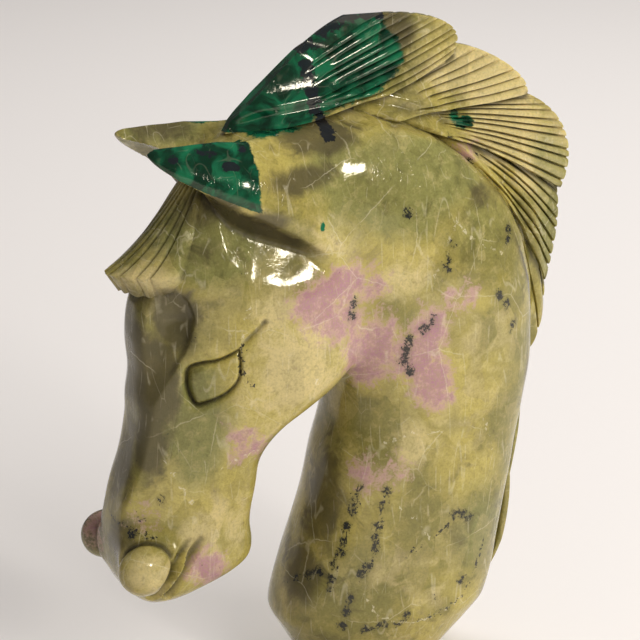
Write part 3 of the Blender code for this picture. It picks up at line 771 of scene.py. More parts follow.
def forelock_solid(sizes, along=26):
    """Hair that falls from between the ears over the forehead and ends in a ledge."""
    kerf = sizes.kerf_depth / UNIT
    outer = []
    inner = []
    for i in range(along + 1):
        v = i / along
        x, z = bezier(FORELOCK_LINE, v)
        half = 4.6 + 10.6 * np.sin(v * np.pi / 2) ** 0.7
        drop = 2 + 15 * v**1.8
        pitch = 2 * half / FORELOCK_STRANDS
        shares = strand_places(FORELOCK_STRANDS, min(0.3, sizes.kerf_width / 2 / UNIT / pitch))
        side = 2 * uneven(shares, FORELOCK_STRANDS) - 1
        cut, hollow = strand_relief(shares, min(0.3, sizes.kerf_width / 2 / UNIT / pitch))
        cut = kerf * cut * min(1, 0.2 + 2 * v) + 0.35 * hollow
        front = x + drop * np.abs(side) ** 1.7
        outer.append(np.stack((front + cut, side * half, z - cut * 0.6), 1))
        back = 14 - 9.5 * v**6 * (1 + 0.2 * side**2)
        down = 9 - (2.6 - 6 * side**2 + 8.6 * side**4 + 0.4 * np.cos(2 * np.pi * shares)) * v**6
        inner.append(np.stack((front + back, side * half * 0.93, z - down), 1))
    return fan_solid("forelock", np.array(outer), np.array(inner))


def bench():
    """The block that levels the underside of the foot."""
    shape = bmesh.new()
    bmesh.ops.create_cube(shape, size=1)
    bmesh.ops.scale(shape, vec=Vector((240, 240, 30)) * UNIT, verts=shape.verts)
    bmesh.ops.translate(shape, vec=Vector((0, 0, -15)) * UNIT, verts=shape.verts)
    mesh = bpy.data.meshes.new("bench")
    shape.to_mesh(mesh)
    shape.free()
    return mesh


def combine(piece, meshes, operation):
    """Joins solids to a piece, or cuts them from it."""
    tools = []
    for mesh in meshes:
        tool = add_piece(mesh.name, mesh)
        tools.append(tool)
        step = piece.modifiers.new(mesh.name, "BOOLEAN")
        step.operation = operation
        step.object = tool
        step.solver = "MANIFOLD"
    keep_result(piece)
    for tool in tools:
        bpy.data.objects.remove(tool)


def carved_bust():
    """The piece that the carving steps work on."""
    if "carved_bust" not in bpy.data.objects:
        raise RuntimeError("Rough out the stone first")
    return bpy.data.objects["carved_bust"]


def patch_depth(points, patches):
    """How far inside rounded patches each point lies: 1 in their middles, half on their rims."""
    depth = np.zeros(len(points))
    for x, y, z, reach_x, reach_y, reach_z, strength in patches:
        far = np.linalg.norm((points - (x, y, z)) / (reach_x, reach_y, reach_z), axis=1)
        depth = np.maximum(depth, strength * np.clip(1.5 - far, 0, 1))
    return depth


def emerald_depth(points):
    """Where the stone turns to emerald: in the front lock, on the near ear and in a few spots."""
    side_view = points[:, [0, 2]]
    outline = np.array(EMERALD_LOCK, float)
    off, _ = distance_to_line(side_view, outline)
    signed = np.where(inside_outline(side_view, outline), off, -off)
    lock = np.clip(0.5 + signed / 7, 0, 1) * np.clip((points[:, 2] - 204.3) / 1.8, 0, 1)
    ear_x = np.array([row[0] for row in EAR_SECTIONS], float)
    ear_edge = np.array([row[2] for row in EAR_SECTIONS], float)
    x, y, z = points.T
    rim = np.interp(x, ear_x, ear_edge) + 0.1 + 1.4 * np.clip((x + 88) / 36, 0, 1)
    ear = np.minimum(0.5 + (EMERALD_EAR_BACK - x) / 4, 0.5 + (z - rim) / 1.6)
    ear = np.clip(ear, 0, 1) * (y < -7)
    return np.maximum.reduce((lock, ear, patch_depth(points, EMERALD_SPOTS)))


def seam_depth(points):
    """Where the black seams run, and the black spots of the ear."""
    depth = np.zeros(len(points))
    for line, reach in BLACK_SEAMS:
        off, _ = distance_to_line(points[:, [0, 2]], np.array(line, float))
        depth = np.maximum(depth, np.clip(1.5 - off / reach, 0, 1))
    for spot in EAR_SPOTS:
        off = np.linalg.norm(points - spot, axis=1)
        depth = np.maximum(depth, np.clip(1.5 - off / 1.7, 0, 1))
    return depth


def fern_depth(points):
    """How near each point is to the middle of a black fern-like growth."""
    depth = np.zeros(len(points))
    for fern in FERNS:
        depth = np.maximum(depth, np.clip(1 - np.linalg.norm(points - fern, axis=1) / 3.7, 0, 1))
    return depth


def crack_depth(points, lines):
    """How near each point of the near side is to the middle of a crack: 1 on it and 0 from 2 units off."""
    wander = 0.5 * np.sin(points[:, [2, 0]] * 1.9) + 0.3 * np.sin(points[:, [2, 0]] * 4.3 + 1)
    depth = np.zeros(len(points))
    for line in lines:
        off, _ = distance_to_line(points[:, [0, 2]] + wander, np.array(line, float))
        depth = np.maximum(depth, np.clip(1 - off / 2, 0, 1))
    return depth * (points[:, 1] < 0)


def shade_depth(points):
    """Where no light reaches: between an ear's lower edge and its crease, and under the forelock."""
    x, y, z = points.T
    ear = np.array(EAR_SECTIONS, float)
    edge_out, edge_up, crease_up = (np.interp(x, ear[:, 0], ear[:, i]) for i in (1, 2, 9))
    inside = np.clip((edge_out + 0.4 - np.abs(y)) / 0.9, 0, 1) * np.clip((z - crease_up + 2.5) / 4.0, 0, 1)
    below_edge = np.clip((edge_up - 0.1 - z) / 1.2, 0, 1)
    wedge = inside * below_edge * np.clip((-24 - x) / 14, 0, 1) * np.clip((x + 76) / 6, 0, 1)
    ledge = np.exp(-(((x + 88) / 7) ** 2) - ((z - 153) / 3.5) ** 2 - (y / 15) ** 4)
    return np.maximum(wedge, 0.7 * ledge)


def lock_shade_depth(points):
    """Painted shade below each mane lock's lower edge, where the lock would cast its shadow on the one
    beneath.
    """
    side_view = points[:, [0, 2]]
    depth = np.zeros(len(points))
    steps = np.linspace(0, 1, 25)
    for lower, upper, tip, *_ in MANE_LOCKS.values():
        low = np.array([bezier(lower, t) for t in steps])
        high = np.array([bezier(upper, t) for t in steps])
        end = np.array([bezier(tip, t) for t in steps])
        off, along = distance_to_line(side_view, low)
        outside = ~inside_outline(side_view, np.concatenate((low, end, high[::-1], low[:1])))
        past_root = np.clip((along - 0.2) / 0.25, 0, 1)
        depth = np.maximum(depth, np.clip(1.3 - off / 1.9, 0, 1) * outside * past_root)
    return depth


def groove_shade_depth(points):
    """Painted shade in the two cuts behind each nostril."""
    depth = np.zeros(len(points))
    for line in MOUTH_LINES:
        off, _ = distance_to_line(points[:, [0, 2]], catmull_rom(line, 4))
        depth = np.maximum(depth, np.clip(1.1 - off / 1.5, 0, 1))
    return depth


def hollow_depth(mesh):
    """How hollow the skin is at each point, where polish and light don't reach."""
    points = points_of(mesh)
    starts, ends, degree = edges_of(mesh)
    mean = np.stack([means_around(points[:, i], starts, ends, degree) for i in range(3)], 1)
    length = np.linalg.norm(points[starts] - points[ends], axis=1)
    count = len(points)
    near = (np.bincount(starts, length, count) + np.bincount(ends, length, count)) / np.maximum(degree, 1)
    rise = np.einsum("ij,ij->i", mean - points, normals_of(mesh)) / np.maximum(near, 1e-6)
    for _ in range(2):
        rise = 0.5 * rise + 0.5 * means_around(rise, starts, ends, degree)
    return np.clip(rise * 5, 0, 1)


def mark_stone(mesh):
    """Keeps on the mesh where each kind of stone shows, and where shade is painted in."""
    points = points_of(mesh)
    marks = {
        "lilac": patch_depth(points, LILAC_PATCHES),
        "cream": patch_depth(points, CREAM_PATCHES),
        "green": patch_depth(points, GREEN_PATCHES),
        "smoky_and_shade": patch_depth(points, SMOKY_AND_SHADE_PATCHES),
        "black_crack": crack_depth(points, BLACK_CRACKS),
        "white_crack": crack_depth(points, WHITE_CRACKS),
        # Painted shade under the ears and the forelock ledge, below the mane locks and in the mouth cuts.
        "shade": np.maximum.reduce(
            (shade_depth(points), 0.85 * lock_shade_depth(points), 0.6 * groove_shade_depth(points))
        ),
        "emerald": emerald_depth(points),
        "seam": seam_depth(points),
        "fern": fern_depth(points),
        "hollow": hollow_depth(mesh),
    }
    for name, depth in marks.items():
        mark = mesh.attributes.new(name, "FLOAT", "POINT")
        mark.data.foreach_set("value", depth.astype(np.float32))


def feed(tree, socket, value):
    """Links a node's input, or sets it where the value is a plain one."""
    if isinstance(value, bpy.types.NodeSocket):
        tree.links.new(value, socket)
    elif isinstance(value, (tuple, list)) and len(value) == 3 and socket.type == "RGBA":
        socket.default_value = (*value, 1)
    else:
        socket.default_value = value


def maths(tree, operation, first, second=0.0, third=0.0):
    """A sum of numbers or sockets."""
    made = tree.nodes.new("ShaderNodeMath")
    made.operation = operation
    for socket, value in zip(made.inputs, (first, second, third)):
        feed(tree, socket, value)
    return made.outputs[0]


def step_between(tree, value, low, high, start=0.0, end=1.0):
    """A soft step from `start` to `end` as the value passes from low to high."""
    made = tree.nodes.new("ShaderNodeMapRange")
    made.interpolation_type = "SMOOTHSTEP"
    for socket, number in zip(made.inputs, (value, low, high, start, end)):
        feed(tree, socket, number)
    return made.outputs[0]


def tint(tree, share, under, over, way="MIX"):
    """One colour over another."""
    made = tree.nodes.new("ShaderNodeMix")
    made.data_type = "RGBA"
    made.blend_type = way
    feed(tree, made.inputs[0], share)
    feed(tree, made.inputs[6], under)
    feed(tree, made.inputs[7], over)
    return made.outputs[2]


def mark(tree, name):
    """One of the marks kept on the mesh."""
    made = tree.nodes.new("ShaderNodeAttribute")
    made.attribute_name = name
    return made.outputs["Fac"]


def clouds(tree, where, size, detail=3.0, roughness=0.5, distortion=0.0):
    """Soft clouds of about a size in drawing units."""
    made = tree.nodes.new("ShaderNodeTexNoise")
    feed(tree, made.inputs["Vector"], where)
    made.inputs["Scale"].default_value = 1 / size
    made.inputs["Detail"].default_value = detail
    made.inputs["Roughness"].default_value = roughness
    made.inputs["Distortion"].default_value = distortion
    return made.outputs["Fac"]


def drifted(tree, where, size, reach):
    """Places pushed about by clouds, so that what is drawn there wanders."""
    made = tree.nodes.new("ShaderNodeTexNoise")
    feed(tree, made.inputs["Vector"], where)
    made.inputs["Scale"].default_value = 1 / size
    made.inputs["Detail"].default_value = 2.0
    push = tree.nodes.new("ShaderNodeVectorMath")
    push.operation = "MULTIPLY_ADD"
    feed(tree, push.inputs[0], made.outputs["Color"])
    push.inputs[1].default_value = (2 * reach, 2 * reach, 2 * reach)
    push.inputs[2].default_value = (-reach, -reach, -reach)
    add = tree.nodes.new("ShaderNodeVectorMath")
    add.operation = "ADD"
    feed(tree, add.inputs[0], where)
    feed(tree, add.inputs[1], push.outputs[0])
    return add.outputs[0]


def cracks(tree, where, size, width):
    """Thin lines between cells of about a size: 1 on a line and 0 off it."""
    made = tree.nodes.new("ShaderNodeTexVoronoi")
    made.feature = "DISTANCE_TO_EDGE"
    feed(tree, made.inputs["Vector"], where)
    made.inputs["Scale"].default_value = 1 / size
    return step_between(tree, made.outputs["Distance"], 0.15 * width / size, width / size, 1.0, 0.0)


def threads(tree, where, size, width, detail=1.0):
    """Long wandering hairlines, drawn where clouds of a size cross their middle value."""
    made = clouds(tree, where, size, detail)
    off = maths(tree, "ABSOLUTE", maths(tree, "SUBTRACT", made, 0.5))
    return step_between(tree, off, 0.2 * width / size, 1.2 * width / size, 1.0, 0.0)


def stretched(tree, where, turn, scale):
    """Places turned, and drawn out along one way."""
    made = tree.nodes.new("ShaderNodeMapping")
    feed(tree, made.inputs["Vector"], where)
    made.inputs["Rotation"].default_value = [radians(angle) for angle in turn]
    made.inputs["Scale"].default_value = scale
    return made.outputs[0]


def swayed(tree, base, cloud, share):
    """A mark whose rim clouds push in and out by a share of it."""
    return maths(tree, "MULTIPLY_ADD", maths(tree, "SUBTRACT", cloud, 0.5), share, base)


def polished_stone(colours):
    """Mottled olive stone with cream veins, lilac and emerald patches and black ferns, polished, with shade
    painted into its hollows and under its ears, locks and forelock.
    """
    material = bpy.data.materials.new("polished_gemstone")
    material.use_nodes = True
    tree = material.node_tree
    shader = tree.nodes["Principled BSDF"]

    origin = tree.nodes.new("ShaderNodeTexCoord")
    scale = tree.nodes.new("ShaderNodeVectorMath")
    scale.operation = "SCALE"
    feed(tree, scale.inputs[0], origin.outputs["Object"])
    scale.inputs["Scale"].default_value = 1 / UNIT
    where = scale.outputs[0]
    loose = drifted(tree, where, 14, 5)
    ragged = drifted(tree, where, 2.2, 1.1)

    broad = clouds(tree, loose, 34, 3, 0.55)
    middle = clouds(tree, loose, 12, 4, 0.62, 0.8)
    small = clouds(tree, ragged, 3.2, 4, 0.65)
    grain = clouds(tree, where, 0.8, 3, 0.7)

    colour = tint(tree, step_between(tree, broad, 0.38, 0.6), tuple(colours.olive), tuple(colours.yellow))
    paler = swayed(tree, mark(tree, "cream"), middle, 2.0)
    colour = tint(tree, step_between(tree, paler, 0.3, 0.95, 0.0, 0.9), colour, tuple(colours.cream))
    greener = swayed(tree, mark(tree, "green"), broad, 2.0)
    colour = tint(tree, step_between(tree, greener, 0.3, 0.9, 0.0, 0.85), colour, tuple(colours.green))

    facets = tree.nodes.new("ShaderNodeTexVoronoi")
    drawn_out = stretched(tree, where, (25, 30, 40), (1, 0.6, 0.5))
    feed(tree, facets.inputs["Vector"], drifted(tree, drawn_out, 9, 3))
    facets.inputs["Scale"].default_value = 1 / 9
    facet = tree.nodes.new("ShaderNodeSeparateColor")
    feed(tree, facet.inputs[0], facets.outputs["Color"])
    darker = step_between(tree, facet.outputs[0], 0.45, 1.0, 0.0, 0.2)
    colour = tint(tree, darker, colour, tuple(colours.deep))
    lighter = step_between(tree, facet.outputs[1], 0.6, 1.0, 0.0, 0.22)
    colour = tint(tree, lighter, colour, tuple(colours.cream))

    murky = step_between(tree, middle, 0.5, 0.74, 0.0, 0.6)
    murky = maths(tree, "MULTIPLY", murky, step_between(tree, mark(tree, "cream"), 0.0, 0.8, 1.0, 0.25))
    colour = tint(tree, murky, colour, tuple(colours.deep))
    colour = tint(tree, step_between(tree, small, 0.5, 0.76, 0.0, 0.3), colour, tuple(colours.deep))
    colour = tint(tree, step_between(tree, small, 0.5, 0.28, 0.0, 0.24), colour, tuple(colours.cream))

    # Smoky stone and painted shade: some of these patches darken the hollow over the eye, the nose's side,
    # the ear's lower edge and the neck's front.
    smoky_and_shade = swayed(tree, mark(tree, "smoky_and_shade"), middle, 1.2)
    smoky_and_shade = step_between(tree, smoky_and_shade, 0.2, 0.85, 0.0, 0.88)
    colour = tint(tree, smoky_and_shade, colour, tuple(colours.smoke_and_shade))

    rosy = swayed(tree, mark(tree, "lilac"), middle, 0.9)
    rosy = swayed(tree, rosy, small, 1.5)
    rosy = swayed(tree, rosy, grain, 0.6)
    lilac = tint(tree, step_between(tree, rosy, 0.55, 1.05), tuple(colours.rose), tuple(colours.lilac))
    lilac = tint(tree, step_between(tree, grain, 0.42, 0.62, 0.0, 0.3), lilac, tuple(colours.cream))
    colour = tint(tree, step_between(tree, rosy, 0.36, 0.8, 0.0, 0.9), colour, lilac)

    patchy = step_between(tree, clouds(tree, where, 17, 2), 0.46, 0.6)
    wide_veins = maths(tree, "MULTIPLY", cracks(tree, drifted(tree, where, 3, 0.7), 27, 0.26), patchy)
    fine_veins = cracks(tree, stretched(tree, where, (40, 10, 20), (1, 0.6, 0.3)), 8, 0.1)
    here = step_between(tree, clouds(tree, where, 10, 2), 0.5, 0.64, 0, 0.5)
    fine_veins = maths(tree, "MULTIPLY", fine_veins, here)
    falling = threads(tree, stretched(tree, where, (0, 28, 10), (1, 1, 0.09)), 5, 0.11, 0)
    here = step_between(tree, clouds(tree, where, 8, 2), 0.52, 0.62, 0, 0.7)
    falling = maths(tree, "MULTIPLY", falling, here)
    rising = threads(tree, stretched(tree, where, (15, -40, 0), (1, 1, 0.1)), 5.5, 0.11, 0)
    here = step_between(tree, clouds(tree, where, 9, 2), 0.48, 0.38, 0, 0.8)
    rising = maths(tree, "MULTIPLY", rising, here)
    veins = maths(tree, "MAXIMUM", wide_veins, fine_veins)
    veins = maths(tree, "MAXIMUM", veins, maths(tree, "MAXIMUM", falling, rising))
    white = swayed(tree, mark(tree, "white_crack"), grain, 1.0)
    veins = maths(tree, "MULTIPLY", veins, 0.3)
    veins = maths(tree, "MAXIMUM", veins, maths(tree, "MULTIPLY", step_between(tree, white, 0.76, 0.9), 0.6))
    colour = tint(tree, veins, colour, tuple(colours.vein))
    colour = tint(tree, step_between(tree, grain, 0.4, 0.7, 0.0, 0.22), colour, tuple(colours.deep))

    deep_green = swayed(tree, mark(tree, "emerald"), small, 0.8)
    glow = step_between(tree, clouds(tree, loose, 8, 3, 0.55, 0.6), 0.36, 0.68)
    emerald = tint(tree, glow, tuple(colours.emerald), tuple(colours.leaf))
    emerald = tint(tree, maths(tree, "MULTIPLY", veins, 0.22), emerald, tuple(colours.vein))
    colour = tint(tree, step_between(tree, deep_green, 0.4, 0.58), colour, emerald)

    crumbs = clouds(tree, ragged, 1.3, 3, 0.7)
    core = swayed(tree, mark(tree, "fern"), crumbs, 2.6)
    core = step_between(tree, core, 0.62, 0.78)
    twigs = swayed(tree, mark(tree, "fern"), small, 1.2)
    twigs = maths(tree, "MULTIPLY", threads(tree, ragged, 2.4, 0.2, 2), step_between(tree, twigs, 0.42, 0.6))
    halo = step_between(tree, mark(tree, "fern"), 0.0, 0.9, 0.0, 0.45)
    colour = tint(tree, halo, colour, tuple(colours.deep))
    ferny = maths(tree, "MULTIPLY", maths(tree, "MAXIMUM", core, twigs), 0.95)
    seamy = swayed(tree, mark(tree, "seam"), small, 2.2)
    seamy = step_between(tree, seamy, 0.45, 0.62, 0.0, 0.97)
    inky = swayed(tree, mark(tree, "black_crack"), crumbs, 2.2)
    inky = step_between(tree, inky, 0.76, 0.88, 0.0, 0.92)
    ink = maths(tree, "MAXIMUM", maths(tree, "MAXIMUM", ferny, seamy), inky)
    colour = tint(tree, ink, colour, tuple(colours.black))
    hollow = mark(tree, "hollow")
    # Painted shade and dirt: hollows of the skin, such as the strand cuts and the creases between parts, turn
    # dark.
    colour = tint(tree, maths(tree, "MULTIPLY", hollow, 0.8), colour, tuple(colours.dirt_and_shade))
    # Painted shade: the shade mark darkens the colour under the ears and the forelock ledge, below each lock
    # and in the mouth cuts.
    colour = tint(tree, maths(tree, "MULTIPLY", mark(tree, "shade"), 0.96), colour, tuple(colours.dirt_and_shade))
    feed(tree, shader.inputs["Base Color"], colour)

    rough = maths(tree, "MULTIPLY_ADD", middle, 0.08, 0.05)
    rough = maths(tree, "MULTIPLY_ADD", hollow, 0.3, rough)
    feed(tree, shader.inputs["Roughness"], rough)
    shader.inputs["IOR"].default_value = 1.54
    shader.inputs["Specular Tint"].default_value = (0.95, 0.88, 0.7, 1)
    shader.inputs["Coat Weight"].default_value = 0.12
    shader.inputs["Coat Roughness"].default_value = 0.04
    shader.inputs["Subsurface Weight"].default_value = 0.3
    shader.inputs["Subsurface Radius"].default_value = (1.0, 0.8, 0.35)
    shader.inputs["Subsurface Scale"].default_value = 4 * UNIT

    uneven = maths(tree, "MULTIPLY_ADD", middle, 0.5, maths(tree, "MULTIPLY", small, 0.05))
    scratch = threads(tree, stretched(tree, where, (20, -40, 0), (1, 1, 0.12)), 2.4, 0.05, 2)
    uneven = maths(tree, "SUBTRACT", uneven, maths(tree, "MULTIPLY", scratch, 0.05))
    bump = tree.nodes.new("ShaderNodeBump")
    bump.inputs["Strength"].default_value = 0.6
    bump.inputs["Distance"].default_value = 0.5 * UNIT
    feed(tree, bump.inputs["Height"], uneven)
    feed(tree, shader.inputs["Normal"], bump.outputs["Normal"])
    return material


def pale_floor(colour):
    """Smooth pale paper under the bust."""
    material = bpy.data.materials.new("pale_paper")
    material.use_nodes = True
    tree = material.node_tree
    shader = tree.nodes["Principled BSDF"]
    origin = tree.nodes.new("ShaderNodeTexCoord")
    fibre = clouds(tree, origin.outputs["Object"], 0.004, 2)
    darker = tuple(part * 0.99 for part in colour)
    feed(tree, shader.inputs["Base Color"], tint(tree, fibre, tuple(colour), darker))
    shader.inputs["Roughness"].default_value = 0.85
    return material


def softbox(name, towards, distance, width, height, power, aim, colour=(1.0, 1.0, 1.0)):
    """A rectangular soft light that faces the bust, placed by azimuth and elevation in degrees."""
    lamp = bpy.data.lights.new(name, "AREA")
    lamp.shape = "RECTANGLE"
    lamp.size = width
    lamp.size_y = height
    lamp.energy = power
    lamp.color = colour
    light = bpy.data.objects.new(name, lamp)
    bpy.context.scene.collection.objects.link(light)
    away = direction(*(radians(angle) for angle in towards))
    light.location = aim + away * distance
    light.rotation_euler = away.to_track_quat("Z", "Y").to_euler()
    return light


def direction(azimuth, elevation):
    """The way from the bust to a place, angles in radians: azimuth turns from the near side to the mane."""
    across = cos(elevation)
    return Vector((sin(azimuth) * across, -cos(azimuth) * across, sin(elevation)))


class HorseBustSizes(bpy.types.PropertyGroup):
    """Sizes of the carving"""

    neck_thickness: FloatProperty(
        name="Neck Thickness", description="Across the neck at its widest", default=0.056, unit="LENGTH"
    )
    head_thickness: FloatProperty(
        name="Head Thickness", description="Across the cheeks", default=0.052, unit="LENGTH"
    )
    foot_length: FloatProperty(
        name="Foot Length", description="Front to back of the flat underside", default=0.044, unit="LENGTH"
    )
    foot_thickness: FloatProperty(
        name="Foot Thickness", description="Across the flat underside", default=0.036, unit="LENGTH"
    )
    mane_thickness: FloatProperty(
        name="Mane Thickness", description="Across the mane at its roots", default=0.017, unit="LENGTH"
    )
    kerf_depth: FloatProperty(
        name="Kerf Depth", description="Depth of the cuts between strands", default=0.0015, unit="LENGTH"
    )
    kerf_width: FloatProperty(
        name="Kerf Width", description="Width of the cuts between strands", default=0.0012, unit="LENGTH"
    )
    eye_depth: FloatProperty(
        name="Eye Depth", description="How far the eyes are cut in", default=0.0026, unit="LENGTH"
    )
    grain: FloatProperty(
        name="Grain", description="Cell that the skin is fused at", default=0.00062, unit="LENGTH"
    )
    soften_rounds: IntProperty(
        name="Soften Rounds", description="How often the fused seams are smoothed", default=60
    )
    skin_triangles: IntProperty(
        name="Skin Triangles", description="Faces left on the skin before the hair is joined", default=128000
    )


def colour_property(name, description, default):
    """A stone colour that the sidebar shows as a swatch."""
    return FloatVectorProperty(
        name=name, description=description, default=default, subtype="COLOR", min=0, max=1
    )


class HorseBustColours(bpy.types.PropertyGroup):
    """Colours of the stone"""

    olive: colour_property("Olive", "Body of the stone", (0.245, 0.215, 0.06))
    yellow: colour_property("Yellow", "Warmer parts of the body", (0.47, 0.385, 0.1))
    cream: colour_property("Cream", "Pale clouds", (0.67, 0.545, 0.25))
    green: colour_property("Green", "Cool green parts", (0.225, 0.225, 0.075))
    deep: colour_property("Deep", "Murky depths", (0.075, 0.068, 0.02))
    # Glassy dark stone, also used as painted shade in the socket, beside the nose, under the near ear and low
    # on the neck.
    smoke_and_shade: colour_property("Smoke", "Glassy dark parts", (0.085, 0.07, 0.034))
    vein: colour_property("Vein", "Healed cracks", (0.8, 0.72, 0.5))
    lilac: colour_property("Lilac", "Middle of the lilac patches", (0.42, 0.2, 0.27))
    rose: colour_property("Rose", "Pink in the lilac patches", (0.58, 0.37, 0.32))
    emerald: colour_property("Emerald", "Dark emerald", (0.0012, 0.026, 0.012))
    leaf: colour_property("Leaf", "Bright emerald", (0.007, 0.14, 0.06))
    black: colour_property("Black", "Seams and ferns", (0.01, 0.013, 0.018))
    # Painted shade as well as dirt: the colour that the hollows and the shade mark darken to.
    dirt_and_shade: colour_property("Dirt", "What gathers in the cuts", (0.024, 0.018, 0.008))


class HorseBustStudio(bpy.types.PropertyGroup):
    """Floor, lights and camera"""

    floor: colour_property("Floor", "Pale paper", (0.83, 0.785, 0.755))
    sky: FloatProperty(
        name="Sky", description="Strength of the even light all round", default=0.15, min=0
    )
    window_power: FloatProperty(
        name="Window", description="Power of the window", default=1.6, unit="POWER"
    )
    side_power: FloatProperty(
        name="Side", description="Power of the broad light above the window", default=13.4, unit="POWER"
    )
    paper_power: FloatProperty(
        name="Paper", description="Power of the light over the paper behind", default=19, unit="POWER"
    )
    camera_azimuth: FloatProperty(
        name="Camera Azimuth",
        description="Turn of the camera from the near side",
        default=radians(-25),
        subtype="ANGLE",
    )
    camera_elevation: FloatProperty(
        name="Camera Elevation", description="Rise of the camera", default=radians(19), subtype="ANGLE"
    )
    camera_distance: FloatProperty(
        name="Camera Distance", description="From camera to middle of the view", default=1.0, unit="LENGTH"
    )


class HORSEBUST_OT_rough_out(bpy.types.Operator):
    """Blocks out the neck, the head and the muzzle as one smooth skin"""

    bl_idname = "horse_bust.rough_out"
    bl_label = "Rough Out Stone"

    def execute(self, context):
        sizes = context.scene.horse_bust_sizes
        piece = add_piece("carved_bust", bpy.data.meshes.new("rough"))
        blocks = [
            foot_block(sizes.neck_thickness, sizes.foot_length, sizes.foot_thickness),
            body_block("neck", NECK_SECTIONS, sizes.neck_thickness),
            body_block("head", HEAD_SECTIONS, sizes.head_thickness),
            *pebbles("muzzle", NOSTRIL_BED, NOSTRIL_BED_RADII),
        ]
        fuse(piece, blocks, sizes.grain * ROUGH_GRAIN, sizes.soften_rounds)
        cut_planes(piece.data)
        return {"FINISHED"}


class HORSEBUST_OT_set_ears(bpy.types.Operator):
    """Adds the ears and the round nostrils, and lets them run out in the head"""

    bl_idname = "horse_bust.set_ears"
    bl_label = "Add Ears and Nostrils"

    def execute(self, context):
        sizes = context.scene.horse_bust_sizes
        piece = carved_bust()
        crisp = [ear_block(side) for side in (-1, 1)] + pebbles("nostril", NOSTRIL, NOSTRIL_RADII)
        fuse(piece, [piece.data, *crisp], sizes.grain, CRISP_ROUNDS)
        melt_temples(piece.data, MELT_ROUNDS)
        return {"FINISHED"}


class HORSEBUST_OT_cut_face(bpy.types.Operator):
    """Cuts the eyes, the brows and the mouth, and keeps only the faces that the skin needs"""

    bl_idname = "horse_bust.cut_face"
    bl_label = "Cut Face"

    def execute(self, context):
        sizes = context.scene.horse_bust_sizes
        piece = carved_bust()
        cut_face(piece.data, sizes.eye_depth)
        thin = piece.modifiers.new("simplify", "DECIMATE")
        triangles = sum(len(face.vertices) - 2 for face in piece.data.polygons)
        thin.ratio = min(1, sizes.skin_triangles / triangles)
        keep_result(piece)
        return {"FINISHED"}


class HORSEBUST_OT_cut_mane(bpy.types.Operator):
    """Carves the locks of the mane and the forelock, strand by strand"""

    bl_idname = "horse_bust.cut_mane"
    bl_label = "Cut Mane and Forelock"

    def execute(self, context):
        sizes = context.scene.horse_bust_sizes
        locks = [mane_lock(name, *lock, sizes) for name, lock in MANE_LOCKS.items()]
        combine(carved_bust(), [*locks, forelock_solid(sizes)], "UNION")
        return {"FINISHED"}


class HORSEBUST_OT_level_foot(bpy.types.Operator):
    """Levels the underside, so that the bust stands"""

    bl_idname = "horse_bust.level_foot"
    bl_label = "Level Underside"

    def execute(self, context):
        piece = carved_bust()
        combine(piece, [bench()], "DIFFERENCE")
        points = points_of(piece.data)
        low, high = np.array(LOW) / UNIT, np.array(HIGH) / UNIT
        move_points(piece.data, np.clip(points, low, high))
        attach(piece, "root")
        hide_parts("horse_bust")
        return {"FINISHED"}


class HORSEBUST_OT_polish(bpy.types.Operator):
    """Polishes the bust and shows its stone"""

    bl_idname = "horse_bust.polish"
    bl_label = "Polish Stone"

    def execute(self, context):
        piece = carved_bust()
        mesh = piece.data
        mesh.polygons.foreach_set("use_smooth", np.ones(len(mesh.polygons), bool))
        mesh.set_sharp_from_angle(angle=radians(CRISP_ANGLE))
        mark_stone(mesh)
        mesh.materials.clear()
        mesh.materials.append(polished_stone(context.scene.horse_bust_colours))
        return {"FINISHED"}


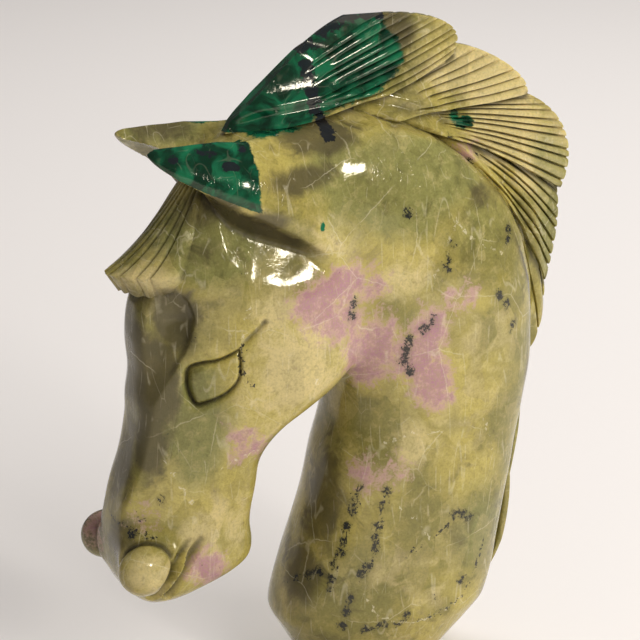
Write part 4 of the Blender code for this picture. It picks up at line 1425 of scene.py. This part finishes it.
class HORSEBUST_OT_set_stage(bpy.types.Operator):
    """Lays the floor, hangs the lights and places the camera"""

    bl_idname = "horse_bust.set_stage"
    bl_label = "Set Stage"

    def execute(self, context):
        scene = context.scene
        studio = scene.horse_bust_studio
        shape = bmesh.new()
        bmesh.ops.create_circle(shape, cap_ends=True, segments=96, radius=6)
        mesh = bpy.data.meshes.new("floor")
        shape.to_mesh(mesh)
        shape.free()
        floor = add_piece("floor", mesh)
        floor.location.z = -FLOOR_GAP
        mesh.materials.append(pale_floor(tuple(studio.floor)))

        middle = Vector(VIEW_MIDDLE) * UNIT
        softbox("window", (17, 19.5), 0.9, 0.1, 0.1, studio.window_power, middle, DAYLIGHT)
        broad = softbox("broad_side", (30, 34), 1.3, 1.2, 1.0, studio.side_power, middle, DAYLIGHT)
        broad.visible_glossy = False
        paper = softbox("paper_light", (140, 62), 1.6, 1.2, 1.2, studio.paper_power, Vector((0.1, 0.0, 0)))
        paper.visible_glossy = False

        sky = scene.world or bpy.data.worlds.new("sky")
        scene.world = sky
        sky.use_nodes = True
        shade = sky.node_tree.nodes["Background"]
        shade.inputs["Color"].default_value = (1.0, 0.97, 0.94, 1)
        shade.inputs["Strength"].default_value = studio.sky

        lens = bpy.data.cameras.new("camera")
        lens.sensor_width = SENSOR_WIDTH
        lens.lens = SENSOR_WIDTH / VIEW_WIDTH * studio.camera_distance
        lens.clip_start = 0.01
        eye = bpy.data.objects.new("camera", lens)
        scene.collection.objects.link(eye)
        away = direction(studio.camera_azimuth, studio.camera_elevation)
        eye.location = middle + away * studio.camera_distance
        eye.rotation_euler = away.to_track_quat("Z", "Y").to_euler()
        scene.camera = eye
        scene.view_settings.view_transform = "Standard"
        return {"FINISHED"}


class HORSEBUST_PT_steps(bpy.types.Panel):
    """The carving steps in order"""

    bl_idname = "HORSEBUST_PT_steps"
    bl_label = "Horse Bust"
    bl_space_type = "VIEW_3D"
    bl_region_type = "UI"
    bl_category = "Horse Bust"

    def draw(self, context):
        column = self.layout.column()
        for step in STEPS:
            column.operator(step.bl_idname)
        for key in GROUPS:
            group = getattr(context.scene, key)
            box = self.layout.box()
            for name in group.__annotations__:
                box.prop(group, name)


STEPS = (
    HORSEBUST_OT_rough_out,
    HORSEBUST_OT_set_ears,
    HORSEBUST_OT_cut_face,
    HORSEBUST_OT_cut_mane,
    HORSEBUST_OT_level_foot,
    HORSEBUST_OT_polish,
    HORSEBUST_OT_set_stage,
)
GROUPS = {
    "horse_bust_sizes": HorseBustSizes,
    "horse_bust_colours": HorseBustColours,
    "horse_bust_studio": HorseBustStudio,
}


def register():
    for group in GROUPS.values():
        bpy.utils.register_class(group)
    for name, group in GROUPS.items():
        setattr(bpy.types.Scene, name, PointerProperty(type=group))
    for step in STEPS:
        bpy.utils.register_class(step)
    bpy.utils.register_class(HORSEBUST_PT_steps)


def unregister():
    bpy.utils.unregister_class(HORSEBUST_PT_steps)
    for step in reversed(STEPS):
        bpy.utils.unregister_class(step)
    for name in GROUPS:
        delattr(bpy.types.Scene, name)
    for group in GROUPS.values():
        bpy.utils.unregister_class(group)


def main():
    register()
    bpy.ops.horse_bust.rough_out()
    bpy.ops.horse_bust.set_ears()
    bpy.ops.horse_bust.cut_face()
    bpy.ops.horse_bust.cut_mane()
    bpy.ops.horse_bust.level_foot()
    bpy.ops.horse_bust.polish()
    bpy.ops.horse_bust.set_stage()


if __name__ == "__main__":
    main()
